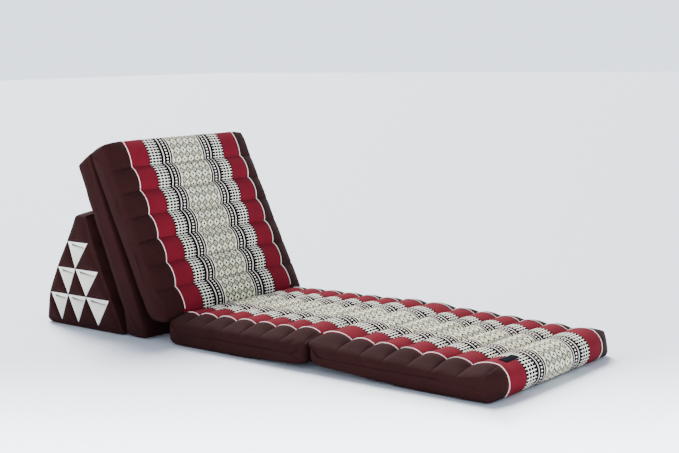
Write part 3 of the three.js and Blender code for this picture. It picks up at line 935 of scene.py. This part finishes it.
# The banded cloth's stripes, from the middle outwards, in channels
LATTICE_EDGE = 0.865
LATTICE_MARGIN = 0.04  # of plain cream inside that
DOT_ROW = 1.155
DOT_HALF = 0.048
DOT_SHARE = 0.46  # of the pitch of the dots
BANDS = [
    (0.0, "cream"),
    (LATTICE_EDGE, "black"),
    (0.955, "pink"),
    (0.995, "black"),
    (1.315, "pink"),
    (1.355, "black"),
    (1.48, "white"),
    (2.1, "red"),
    (3.11, "brown"),
]
# Columns of black dashes between the white bars, each from its inner to its outer edge
DASHES = [(1.46, 1.6), (1.62, 1.775), (1.795, 1.95), (1.97, 2.13)]
DASH_SHARE = 0.72  # of a tooth's pitch
RAMP_REACH = 4.5  # channels that a ramp spans
# Lines of the lattice by the distance from a diamond's middle: a dot, a ring, a line and a dot
LATTICE_LINES = [(0.0, 0.11), (0.225, 0.405), (0.455, 0.545), (0.84, 1.0)]
OFF, ON = (0, 0, 0, 1), (1, 1, 1, 1)


def stripe_stops(stripes, reach):
    """Colour ramp stops that are on inside each stripe and off between them."""
    stops = [] if stripes[0][0] == 0 else [(0.0, OFF)]
    for start, end in stripes:
        stops += [(start / reach, ON), (end / reach, OFF)]
    return stops


def lay_over(tree, mask, below, colour):
    """Paints a colour over the cloth where the mask is 1."""
    layers = {"Factor": mask, "A": below, "B": colour}
    return add_node(tree, "ShaderNodeMix", layers, data_type="RGBA").outputs["Result"]


def lattice_mask(tree, away, across, along, sizes):
    """Ringed diamonds inside the middle band."""
    folded = []
    for value, pitch in ((across, sizes.diamond_across), (along, sizes.diamond_along)):
        cell = add_node(tree, "ShaderNodeMath", {0: value, 1: pitch}, operation="DIVIDE")
        folded.append(add_node(tree, "ShaderNodeMath", {0: cell, 1: 0.5}, operation="PINGPONG"))
    diamond = add_node(tree, "ShaderNodeMath", {0: folded[0], 1: folded[1]}, operation="ADD")
    lines = add_node(tree, "ShaderNodeValToRGB", {"Fac": diamond})
    fill_ramp(lines.color_ramp, stripe_stops(LATTICE_LINES, 1))
    edge = (LATTICE_EDGE - LATTICE_MARGIN) * CHANNEL
    inside = add_node(tree, "ShaderNodeMath", {0: away, 1: edge}, operation="LESS_THAN")
    return add_node(tree, "ShaderNodeMath", {0: lines, 1: inside}, operation="MULTIPLY")


def dot_mask(tree, away, along, sizes):
    """A row of dots in the middle of the narrow band."""
    off = add_node(tree, "ShaderNodeMath", {0: away, 1: DOT_ROW * CHANNEL}, operation="SUBTRACT")
    side = add_node(tree, "ShaderNodeMath", {0: off}, operation="ABSOLUTE")
    in_row = add_node(tree, "ShaderNodeMath", {0: side, 1: DOT_HALF * CHANNEL}, operation="LESS_THAN")
    half = sizes.dot_pitch / 2
    step = add_node(tree, "ShaderNodeMath", {0: along, 1: half}, operation="PINGPONG")
    on_dot = add_node(tree, "ShaderNodeMath", {0: step, 1: half * DOT_SHARE}, operation="LESS_THAN")
    return add_node(tree, "ShaderNodeMath", {0: in_row, 1: on_dot}, operation="MULTIPLY")


def dash_mask(tree, share, along, sizes):
    """The black dashes that leave white bars between them."""
    columns = add_node(tree, "ShaderNodeValToRGB", {"Fac": share})
    fill_ramp(columns.color_ramp, stripe_stops(DASHES, RAMP_REACH))
    half = sizes.tooth_pitch / 2
    step = add_node(tree, "ShaderNodeMath", {0: along, 1: half}, operation="PINGPONG")
    start = half * (1 - DASH_SHARE)
    between = add_node(tree, "ShaderNodeMath", {0: step, 1: start}, operation="GREATER_THAN")
    return add_node(tree, "ShaderNodeMath", {0: columns, 1: between}, operation="MULTIPLY")


def banded_cotton(colours, sizes):
    """Yarn-dyed cotton, woven in bands: a lattice in the middle, dotted and toothed bands, red
    stripes and brown borders, all matt and with edges as hard as the threads. The bands run along
    the cloth, whose UV map is in metres."""
    material, tree = new_material("banded woven cotton")
    uv = add_node(tree, "ShaderNodeUVMap", uv_map="cloth")
    parts = add_node(tree, "ShaderNodeSeparateXYZ", {"Vector": uv})
    across, along = parts.outputs["X"], parts.outputs["Y"]
    away = add_node(tree, "ShaderNodeMath", {0: across}, operation="ABSOLUTE")
    share = add_node(tree, "ShaderNodeMath", {0: away, 1: RAMP_REACH * CHANNEL}, operation="DIVIDE")
    bands = add_node(tree, "ShaderNodeValToRGB", {"Fac": share})
    fill_ramp(bands.color_ramp, [(at / RAMP_REACH, getattr(colours, colour)) for at, colour in BANDS])
    cloth = lay_over(tree, lattice_mask(tree, away, across, along, sizes), bands, colours.lattice)
    cloth = lay_over(tree, dot_mask(tree, away, along, sizes), cloth, colours.white)
    cloth = lay_over(tree, dash_mask(tree, share, along, sizes), cloth, colours.black)
    finish_cotton(tree, cloth, uv, sizes.weave)
    return material


# Pipings
FACES = {"wedge": ["wedge_front", "wedge_rear"]}  # a panel's one ribbed face has the panel's name
PIPING_ENDS = {  # how far each piping stops short of the two seams that it meets, in metres
    "wedge_front": (52 * MM, 6 * MM),
    "wedge_rear": (6 * MM, 6 * MM),
    "inner_panel": (6 * MM, 52 * MM),
    "backrest": (14 * MM, 6 * MM),
    "seat": (6 * MM, 14 * MM),
    "leg_rest": (4 * MM, 6 * MM),
}
PIPING_SIDES = 10  # facets round a piping
PIPING_SEAT = 0.36  # share of the piping's radius by which its middle stands over the cloth


def ribbed_runs(case, y):
    """The ribbed stretches of the outline at y, as lists of points with their normals."""
    points = section(case, station_at(y, case.half_width, 0.0))
    skin = skin_of(case)
    count = len(points)
    runs = []
    for i in range(count):
        if not skin.ribbed[i]:
            continue
        if not skin.ribbed[i - 1]:
            runs.append([])
        runs[-1].append(i)
        if not skin.ribbed[(i + 1) % count]:
            runs[-1].append((i + 1) % count)

    def normal(i):
        return outward_of(points[(i + 1) % count] - points[i - 1])

    return [[(points[i], normal(i)) for i in run] for run in runs]


def shorten(line, length):
    """Cuts a length off the start of a list of points with normals."""
    line = list(line)
    while len(line) > 2 and (line[1][0] - line[0][0]).length < length:
        length -= (line[1][0] - line[0][0]).length
        line.pop(0)
    share = length / (line[1][0] - line[0][0]).length
    line[0] = (line[0][0].lerp(line[1][0], share), line[0][1].lerp(line[1][1], share))
    return line


def tube(path, sides, radius):
    """Vertices, faces and UVs of a closed tube. Each point of the path is a centre and a normal."""
    vertices, faces, uvs = [], [], []
    along = lengths_along([centre for centre, _ in path])
    for i, (centre, normal) in enumerate(path):
        before, after = path[max(i - 1, 0)][0], path[min(i + 1, len(path) - 1)][0]
        tangent = (after - before).normalized()
        across = tangent.cross(normal).normalized()
        up = across.cross(tangent)
        for k in range(sides):
            turn = 2 * math.pi * k / sides
            vertices.append(centre + (up * math.cos(turn) + across * math.sin(turn)) * radius)
    for i in range(len(path) - 1):
        for k in range(sides):
            a, b = i * sides + k, i * sides + (k + 1) % sides
            faces.append((a, b, b + sides, a + sides))
            u0, u1 = k * radius, (k + 1) * radius
            uvs += [(u0, along[i]), (u1, along[i]), (u1, along[i + 1]), (u0, along[i + 1])]
    last = (len(path) - 1) * sides
    for ring in (range(sides - 1, -1, -1), range(last, last + sides)):
        faces.append(tuple(ring))
        uvs += [(0.0, 0.0)] * sides
    return vertices, faces, uvs


def build_piping(face, side_name, side, run, sizes, material):
    first, last = PIPING_ENDS[face]
    line = shorten(shorten(run, first)[::-1], last)[::-1]
    radius = sizes.piping / 2
    path = []
    for p, normal in line:
        out = across_at(normal, 0)
        path.append((across_at(p, side * PIPING_Y) + out * radius * PIPING_SEAT, out))
    vertices, faces, uvs = tube(path, PIPING_SIDES, radius)
    piece = new_object(f"{face}_cord_{side_name}", vertices, faces, [material], uvs=uvs)
    stand_in(piece, f"piping_{face}_{side_name}")


# Pockets
POCKET_CLOTH = 1.0 * MM  # thickness
POCKET_SIDE_CUTS = 14  # facets along a side of the mouth
POCKET_WALL_CUTS = 12  # and from the rim to the tip
POCKET_SAG = 0.06  # of the walls' middle, as a share of the depth
POCKET_TIP = 0.97  # of the depth, where the walls are stitched together
RIM_CUTS = 8  # over the folded edge
RIM_WIDTH = 0.9  # of the folded edge, as a share of its height
WALL_UNEVEN = 0.9 * MM  # of a pocket's walls
WALL_LUMPS = 40  # per metre
SIDE_SEED = 3.0  # how far from the middle of the noise each end's pockets are
LAP_LEAD = 0.15  # how much of the lap is there at the mouth already, as a share of its arch
# How far the walls beside the crease from a pocket's rear top corner stand out, as shares of the
# flap, by steps from the crease: the top wall laps over the wall below, which is tucked in.
FLAP_SHAPE = {-6: 0.4, -5: 0.8, -4: 1.0, -3: 0.9, -2: 0.6, -1: 0.1, 0: -0.4, 1: -0.9, 2: -0.6, 3: -0.2}
SEAM_SHADE = 1.0  # how dark the painted shadow is along the crease's seam
SEAM_STEP = 1  # how many steps the seam lies below the crease
SEAM_REACH = 1.5  # and how many steps the painted shadow reaches to either side
SEAM_SPREAD = 3  # and how many more at the tip
FOLD_SHADE = 1.0  # how dark the painted shade on the wall below the crease is at the tip
FOLD_SHADE_STEPS = 8  # and how many steps away the painted shade is gone
WALL, RIM = 0, 1  # a pocket's materials


def pocket_line(corners, inset):
    """Points round a pocket, inset from its mouth, with slightly rounded corners."""
    middle = middle_of(corners)
    mouth = [c.lerp(middle, POCKET_MARGIN) for c in corners]
    line = []
    for a, b in closed_pairs(mouth):
        line += split_line(a, b, (b - a).length / POCKET_SIDE_CUTS)[:-1]
    return [p.lerp(middle, inset) for p in line]


def painted_fold_shade(steps, deep):
    """How dark a pocket's wall is painted in shade, by the steps from its crease and its share of the depth:
    a painted shadow along the crease's seam, and painted shade towards the deep tip.
    """
    seam = SEAM_SHADE * max(0.0, 1 - abs(steps - SEAM_STEP) / (SEAM_REACH + SEAM_SPREAD * deep**2))
    fold = FOLD_SHADE * deep**2 * max(0.0, 1 - steps / FOLD_SHADE_STEPS) if steps >= 0 else 0.0
    return max(seam, fold)


def pocket_rings(corners, sizes):
    """Inset share and height of each ring of a pocket, from the back over the rim to the tip."""
    wall, to_middle = corners[1] - corners[0], middle_of(corners) - corners[0]
    radius = abs(wall.cross(to_middle)) / wall.length * (1 - POCKET_MARGIN)
    rim = sizes.pocket_rim / 2
    rings = []
    for i in range(RIM_CUTS + 1):
        turn = math.pi * (i / RIM_CUTS)
        rings.append((-rim * math.cos(turn) * RIM_WIDTH / radius, rim * math.sin(turn)))
    start = rings[-1][0]
    for i in range(1, POCKET_WALL_CUTS):
        share = i / POCKET_WALL_CUTS
        sag = POCKET_SAG * math.sin(math.pi * share)
        rings.append((start + (1 - start) * share, -sizes.pocket_depth * (share - sag)))
    return rings


def build_pocket(name, corners, side, sizes, materials):
    middle = middle_of(corners)
    face = side * WEDGE_HALF_WIDTH
    rings = pocket_rings(corners, sizes)
    front = RIM_CUTS + 1
    vertices, faces, kinds, uvs, shades = [], [], [], [], []
    count = 3 * POCKET_SIDE_CUTS
    for number, (inset, out) in enumerate(rings):
        deep = max(0.0, (number - front) / POCKET_WALL_CUTS)
        for k, p in enumerate(pocket_line(corners, inset)):
            steps = k if k < count / 2 else k - count
            fold = 0.0
            if number >= front:
                where = Vector((p.x * WALL_LUMPS, p.y * WALL_LUMPS, side * SIDE_SEED))
                lap = FLAP_SHAPE.get(steps, 0.0) * sizes.pocket_flap
                arch = math.sqrt(math.sin(math.pi * min(1.0, LAP_LEAD + deep)))
                fold = WALL_UNEVEN * noise.noise(where) + lap * arch
            vertices.append(across_at(p, face + side * (out + fold)))
            # Painted shade: darker along the crease and towards the deep tip, where the shadow falls
            shades.append(painted_fold_shade(steps, deep) if number >= front else 0.0)
    tip, tip_depth = len(vertices), sizes.pocket_depth * POCKET_TIP
    vertices.append(across_at(middle, face - side * tip_depth))
    back = len(vertices)
    vertices += [across_at(p, face - side * POCKET_CLOTH) for p in pocket_line(corners, rings[0][0])]
    back_tip = len(vertices)
    vertices.append(across_at(middle, face - side * (tip_depth + POCKET_CLOTH)))

    def add(kind, *ring):
        ring = ring if side < 0 else ring[::-1]
        faces.append(ring)
        kinds.append(kind)
        uvs.extend((vertices[i].x, vertices[i].z) for i in ring)

    for number in range(len(rings) - 1):
        for k in range(count):
            after = (k + 1) % count
            low, high = number * count, (number + 1) * count
            add(RIM if number < front else WALL, low + k, low + after, high + after, high + k)
    last = (len(rings) - 1) * count
    for k in range(count):
        after = (k + 1) % count
        add(WALL, last + k, last + after, tip)
        add(WALL, after, k, back + k, back + after)
        add(WALL, back + after, back + k, back_tip)
    shades += [0.0] * (len(vertices) - len(shades))
    # Painted shade: the deep tip takes the full shade colour
    shades[tip] = FOLD_SHADE
    piece = new_object(f"{name}_cloth", vertices, faces, materials, kinds, uvs, shades)
    stand_in(piece, name)


# Label
LABEL_FROM_MIDDLE = 151 * MM
LABEL_WIDTH = 54 * MM
LABEL_CLOTH = 0.9 * MM  # thickness
LABEL_CLEAR = 0.5 * MM  # over the case
LABEL_CUTS = 12  # facets across its width


def build_label(material):
    low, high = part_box("label")
    case = CASES["leg_rest"]
    run = ribbed_runs(case, LABEL_FROM_MIDDLE)[0]
    covered = [(p, n) for p, n in run if low.x <= p.x <= high.x and p.y > low.z]
    cuts = LABEL_CUTS
    lifts = [LABEL_CLEAR, LABEL_CLEAR + LABEL_CLOTH]
    vertices, faces, uvs = [], [], []
    for p, normal in covered:
        for lift in lifts:
            for k in range(cuts + 1):
                y = -LABEL_FROM_MIDDLE + LABEL_WIDTH * (k / cuts - 0.5)
                vertices.append(across_at(p + normal * lift, y))
    layer = cuts + 1
    block = 2 * layer

    def add(*ring):
        faces.append(ring)
        uvs.extend((vertices[i].y, vertices[i].x + vertices[i].z) for i in ring)

    for row in range(len(covered) - 1):
        a = row * block
        for k in range(cuts):
            add(a + k, a + block + k, a + block + k + 1, a + k + 1)
            top = a + layer
            add(top + k, top + k + 1, top + block + k + 1, top + block + k)
        add(a, a + layer, a + block + layer, a + block)
        b = a + cuts
        add(b, b + block, b + block + layer, b + layer)
    last = (len(covered) - 1) * block
    for k in range(cuts):
        add(k, k + 1, k + 1 + layer, k + layer)
        add(last + k, last + k + layer, last + k + 1 + layer, last + k + 1)
    piece = new_object("label_tab", vertices, faces, [material], uvs=uvs)
    stand_in(piece, "label")


# Stitches
STITCH_STEP = 4 * MM  # between the points of a seam's line
STITCH_CLEAR = 7 * MM  # the seams stop this far inside the piping
STITCH_LIFT = 0.4 * MM  # off the bottom of the valley
TWIST_PER_METRE = 900  # turns of the thread's yarns


def seam_lines():
    """The bottom of each stitched valley, as a list of points from side to side."""
    lines, reach = [], PIPING_Y - STITCH_CLEAR
    steps = round(2 * reach / STITCH_STEP)
    for case in CASES.values():
        cuts = stretch_cuts(case)
        starts = [sum(cuts[:number]) for number in range(len(cuts))]
        valleys = [
            start
            for number, start in enumerate(starts)
            if case.knots[number].ribbed and case.knots[number - 1].ribbed
        ]
        rows = []
        for i in range(steps + 1):
            y = -reach + 2 * reach * i / steps
            rows.append((y, section(case, station_at(y, case.half_width, 0.0))))
        for start in valleys:
            line = []
            for y, points in rows:
                before, at, after = points[start - 1], points[start], points[start + 1]
                out = (before + after - at * 2).normalized()
                line.append(Vector((at.x + out.x * STITCH_LIFT, y, at.y + out.y * STITCH_LIFT)))
            lines.append(line)
    return lines


def stitch_tree():
    """Lays short threads along lines, one every spacing."""
    tree = bpy.data.node_groups.new("sewn stitches", "GeometryNodeTree")
    sockets = {
        "Lines": "Geometry",
        "Stitch length": "Float",
        "Stitch spacing": "Float",
        "Thread thickness": "Float",
        "Thread": "Material",
    }
    for name, kind in sockets.items():
        tree.interface.new_socket(name=name, in_out="INPUT", socket_type=f"NodeSocket{kind}")
    tree.interface.new_socket(name="Stitches", in_out="OUTPUT", socket_type="NodeSocketGeometry")
    given = add_node(tree, "NodeGroupInput").outputs
    curve = add_node(tree, "GeometryNodeMeshToCurve", {"Mesh": given["Lines"]})
    spaced = {"Curve": curve, "Length": given["Stitch spacing"]}
    points = add_node(tree, "GeometryNodeResampleCurve", spaced, mode="LENGTH")
    half = add_node(tree, "ShaderNodeMath", {0: given["Stitch length"], 1: 0.5}, operation="MULTIPLY")
    thin = add_node(tree, "ShaderNodeMath", {0: given["Thread thickness"], 1: 0.5}, operation="MULTIPLY")
    scale = add_node(tree, "ShaderNodeCombineXYZ", {"X": thin, "Y": thin, "Z": half})
    thread = add_node(tree, "GeometryNodeMeshUVSphere", {"Segments": 6, "Rings": 4, "Radius": 1.0})
    stitch = add_node(tree, "GeometryNodeTransform", {"Geometry": thread, "Scale": scale})
    tangent = add_node(tree, "GeometryNodeInputTangent")
    turn = add_node(tree, "FunctionNodeAlignRotationToVector", {"Vector": tangent}, axis="Z")
    rows = {"Points": points, "Instance": stitch, "Rotation": turn}
    laid = add_node(tree, "GeometryNodeInstanceOnPoints", rows)
    real = add_node(tree, "GeometryNodeRealizeInstances", {"Geometry": laid})
    dyed = add_node(tree, "GeometryNodeSetMaterial", {"Geometry": real, "Material": given["Thread"]})
    add_node(tree, "NodeGroupOutput", {"Stitches": dyed})
    return tree


def sewing_thread(colour):
    """Mercerised cotton thread: smooth and slightly glossy, with its twist too fine to see."""
    material, tree = new_material("mercerised sewing thread")
    place = add_node(tree, "ShaderNodeTexCoord").outputs["Object"]
    yarns = {"Vector": place, "Scale": TWIST_PER_METRE, "Detail": 1.0}
    twist = add_node(tree, "ShaderNodeTexNoise", yarns).outputs["Fac"]
    relief = add_node(tree, "ShaderNodeBump", {"Height": twist, "Strength": 0.3, "Distance": 0.1 * MM})
    surface = {"Base Color": colour, "Roughness": 0.55, "Specular IOR Level": 0.3, "Normal": relief}
    shader = add_node(tree, "ShaderNodeBsdfPrincipled", surface)
    add_node(tree, "ShaderNodeOutputMaterial", {"Surface": shader})
    return material


def build_stitches(sizes, colours):
    vertices, edges = [], []
    for line in seam_lines():
        first = len(vertices)
        vertices += line
        edges += [(first + i, first + i + 1) for i in range(len(line) - 1)]
    mesh = bpy.data.meshes.new("stitch_rows")
    mesh.from_pydata(vertices, edges, [])
    piece = add_object("stitch_rows", mesh)
    modifier = piece.modifiers.new("stitches", "NODES")
    modifier.node_group = stitch_tree()
    values = {
        "Stitch length": sizes.stitch,
        "Stitch spacing": sizes.stitch_spacing,
        "Thread thickness": sizes.thread,
        "Thread": sewing_thread(list(colours.thread)),
    }
    for socket in modifier.node_group.interface.items_tree:
        if socket.name in values:
            modifier[socket.identifier] = values[socket.name]
    depsgraph = bpy.context.evaluated_depsgraph_get()
    sewn = bpy.data.meshes.new_from_object(piece.evaluated_get(depsgraph), depsgraph=depsgraph)
    piece.modifiers.remove(modifier)
    piece.data = sewn
    sewn.polygons.foreach_set("use_smooth", [True] * len(sewn.polygons))
    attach(piece, BODY)


# Stage
CAMERA_AT = Vector((FLOOR_ORIGIN + 35.481 * CHANNEL, -2.4256, 0.7362))
CAMERA_TURN = (-39.37, -7.938, -1.007)  # yaw, pitch and roll in degrees
CAMERA_LENS = 67.12  # millimetres, as the next
CAMERA_SENSOR = 36


def build_camera():
    yaw, pitch, roll = (math.radians(a) for a in CAMERA_TURN)
    forward = Vector((math.cos(pitch) * math.sin(yaw), math.cos(pitch) * math.cos(yaw), math.sin(pitch)))
    right = forward.cross(Vector((0, 0, 1))).normalized()
    up = right.cross(forward)
    right, up = right * math.cos(roll) + up * math.sin(roll), up * math.cos(roll) - right * math.sin(roll)
    data = bpy.data.cameras.new("camera")
    data.sensor_width = CAMERA_SENSOR
    data.lens = CAMERA_LENS
    camera = add_object("camera", data)
    axes = Matrix((right, up, -forward)).transposed().to_4x4()
    camera.matrix_world = Matrix.Translation(CAMERA_AT) @ axes
    bpy.context.scene.camera = camera


FLOOR_HALF = 30.0  # metres
SUN_FROM = Vector((-0.8, 0.5, 1.2))  # behind the cushion and to the left
SUN_STRENGTH = 7.4
SUN_ANGLE = 24  # degrees across, for soft shadows
SUN_COLOUR = (1, 0.99, 0.97)
SKY_STRENGTH = 0.75
BACKDROP = "#dfe9f8"
BACKDROP_STRENGTH = 2.6
BACKDROP_TOP = (0.22, 0.5)  # the sine of the height where the backdrop starts and ends to fade
FLOOR_LIGHT_TO = Vector((0.63, -0.77, 0))  # the floor glows with painted light, brighter this way
FLOOR_LIGHT_REACH = (0.1, 1.3)  # metres from the middle where that starts and ends to grow
FLOOR_LIGHT = (0.1, 4.6)
FLOOR_MASK = (0.0, 0.12)  # metres from the cushion where the floor's light is masked and is full


def build_sun():
    data = bpy.data.lights.new("soft_sun", "SUN")
    data.energy = SUN_STRENGTH
    data.angle = math.radians(SUN_ANGLE)
    data.color = SUN_COLOUR
    add_object("soft_sun", data).rotation_euler = SUN_FROM.to_track_quat("Z", "Y").to_euler()


def painted_glow_floor(colour):
    """A floor that glows with painted light, more towards the front and not close round the cushion."""
    material, tree = new_material("opal acrylic floor")
    place = add_node(tree, "ShaderNodeTexCoord").outputs["Object"]
    facing = {0: place, 1: FLOOR_LIGHT_TO}
    forward = add_node(tree, "ShaderNodeVectorMath", facing, operation="DOT_PRODUCT").outputs["Value"]
    growth = {
        "Value": forward,
        "From Min": FLOOR_LIGHT_REACH[0],
        "From Max": FLOOR_LIGHT_REACH[1],
        "To Min": FLOOR_LIGHT[0],
        "To Max": FLOOR_LIGHT[1],
    }
    glow = add_node(tree, "ShaderNodeMapRange", growth, interpolation_type="SMOOTHSTEP")
    outward = add_node(tree, "ShaderNodeVectorMath", {0: place}, operation="ABSOLUTE")
    past = add_node(tree, "ShaderNodeVectorMath", {0: outward, 1: CAD_BOX[1]}, operation="SUBTRACT")
    sides = add_node(tree, "ShaderNodeSeparateXYZ", {"Vector": past}).outputs
    away = add_node(tree, "ShaderNodeMath", {0: sides["X"], 1: sides["Y"]}, operation="MAXIMUM")
    masked = {"Value": away, "From Min": FLOOR_MASK[0], "From Max": FLOOR_MASK[1]}
    bare = add_node(tree, "ShaderNodeMapRange", masked, interpolation_type="SMOOTHSTEP")
    light = add_node(tree, "ShaderNodeMath", {0: glow, 1: bare}, operation="MULTIPLY")
    # Painted light: the floor glows, though it is no lamp
    surface = {"Base Color": colour, "Roughness": 0.6, "Emission Color": colour, "Emission Strength": light}
    shader = add_node(tree, "ShaderNodeBsdfPrincipled", surface)
    add_node(tree, "ShaderNodeOutputMaterial", {"Surface": shader})
    return material


def studio_world():
    """A bright pale backdrop round the floor, under a dimmer sky."""
    world = bpy.data.worlds.new("studio world")
    world.use_nodes = True
    tree = world.node_tree
    tree.nodes.clear()
    place = add_node(tree, "ShaderNodeTexCoord").outputs["Generated"]
    dimming = {
        "Value": add_node(tree, "ShaderNodeSeparateXYZ", {"Vector": place}).outputs["Z"],
        "From Min": BACKDROP_TOP[0],
        "From Max": BACKDROP_TOP[1],
        "To Min": BACKDROP_STRENGTH,
        "To Max": SKY_STRENGTH,
    }
    strength = add_node(tree, "ShaderNodeMapRange", dimming, interpolation_type="SMOOTHSTEP")
    backdrop = {"Color": linear(BACKDROP), "Strength": strength}
    add_node(tree, "ShaderNodeOutputWorld", {"Surface": add_node(tree, "ShaderNodeBackground", backdrop)})
    return world


class CUSHION_OT_stage(Operator):
    """Makes the camera, the pale floor and the soft studio light"""

    bl_idname = "cushion.stage"
    bl_label = "Stage"

    def execute(self, context):
        build_camera()
        colours = context.scene.cushion_colours
        corners = [(x * FLOOR_HALF, y * FLOOR_HALF, 0) for x, y in ((-1, -1), (1, -1), (1, 1), (-1, 1))]
        new_object("studio_floor", corners, [(0, 1, 2, 3)], [painted_glow_floor(list(colours.floor))])
        context.scene.world = studio_world()
        build_sun()
        return {"FINISHED"}


class CUSHION_OT_cases(Operator):
    """Makes the four panels and the wedge, in banded and plain cotton"""

    bl_idname = "cushion.cases"
    bl_label = "Cases"

    def execute(self, context):
        sizes, colours = context.scene.cushion_sizes, context.scene.cushion_colours
        banded = banded_cotton(colours, sizes)
        # Piece-dyed cotton: nearly black in the shade, warm where the light grazes it
        plain = plain_cotton("brown cotton", list(colours.brown), sizes.weave)
        for name, case in CASES.items():
            build_case(name, case, sizes, [banded, plain])
        return {"FINISHED"}


class CUSHION_OT_piping(Operator):
    """Makes the cords that are sewn along the ribbed faces"""

    bl_idname = "cushion.piping"
    bl_label = "Piping"

    def execute(self, context):
        sizes, colours = context.scene.cushion_sizes, context.scene.cushion_colours
        # Cotton cut on the bias: a pale, matt line that bends without a crease
        material = plain_cotton("bias-cut piping cotton", list(colours.piping), sizes.weave)
        for name, case in CASES.items():
            for face, run in zip(FACES.get(name, [name]), ribbed_runs(case, PIPING_Y)):
                for side_name, side in SIDES.items():
                    build_piping(face, side_name, side, run, sizes, material)
        return {"FINISHED"}


class CUSHION_OT_pockets(Operator):
    """Makes the sunk pockets in the wedge's ends"""

    bl_idname = "cushion.pockets"
    bl_label = "Pockets"

    def execute(self, context):
        sizes, colours = context.scene.cushion_sizes, context.scene.cushion_colours
        # Unbleached cotton: a warm off-white, with painted shade where the fold and the deep tip lie in
        # shadow. The binding is bleached: the lightest white, in a crisp line round each pocket.
        pocket, fold = list(colours.pocket), list(colours.fold)
        materials = [
            plain_cotton("unbleached pocket cotton", pocket, sizes.weave, fold),
            plain_cotton("bleached binding cotton", list(colours.rim), sizes.weave),
        ]
        for side_name, side in SIDES.items():
            for number, corners in enumerate(pocket_corners(), 1):
                build_pocket(f"pocket_{side_name}_{number}", corners, side, sizes, materials)
        return {"FINISHED"}


class CUSHION_OT_stitches(Operator):
    """Sews the stitches along the valleys between the channels"""

    bl_idname = "cushion.stitches"
    bl_label = "Stitches"

    def execute(self, context):
        build_stitches(context.scene.cushion_sizes, context.scene.cushion_colours)
        return {"FINISHED"}


class CUSHION_OT_label(Operator):
    """Makes the plain tab at the foot end"""

    bl_idname = "cushion.label"
    bl_label = "Label"

    def execute(self, context):
        sizes, colours = context.scene.cushion_sizes, context.scene.cushion_colours
        # Satin-woven cotton tape: smoother than the rest, and too dark to shine
        colour = list(colours.label)
        material = plain_cotton("satin label tape", colour, sizes.weave, roughness=0.8, gloss=0.02)
        build_label(material)
        return {"FINISHED"}


OPERATORS = (
    CUSHION_OT_stage,
    CUSHION_OT_cases,
    CUSHION_OT_stitches,
    CUSHION_OT_piping,
    CUSHION_OT_pockets,
    CUSHION_OT_label,
)


class CUSHION_PT_sidebar(Panel):
    """Lists the steps that build the cushion"""

    bl_idname = "CUSHION_PT_sidebar"
    bl_label = "Triangle cushion"
    bl_space_type = "VIEW_3D"
    bl_region_type = "UI"
    bl_category = "Cushion"

    def draw(self, context):
        for operator in OPERATORS:
            self.layout.operator(operator.bl_idname)
        for group in (context.scene.cushion_sizes, context.scene.cushion_colours):
            for name in group.__annotations__:
                self.layout.prop(group, name)


CLASSES = (CushionSizes, CushionColours, *OPERATORS, CUSHION_PT_sidebar)


def register():
    for cls in CLASSES:
        bpy.utils.register_class(cls)
    bpy.types.Scene.cushion_sizes = PointerProperty(type=CushionSizes)
    bpy.types.Scene.cushion_colours = PointerProperty(type=CushionColours)


def unregister():
    del bpy.types.Scene.cushion_colours
    del bpy.types.Scene.cushion_sizes
    for cls in reversed(CLASSES):
        bpy.utils.unregister_class(cls)


def main():
    register()
    bpy.ops.cushion.stage()
    bpy.ops.cushion.cases()
    bpy.ops.cushion.stitches()
    bpy.ops.cushion.piping()
    bpy.ops.cushion.pockets()
    bpy.ops.cushion.label()


if __name__ == "__main__":
    main()
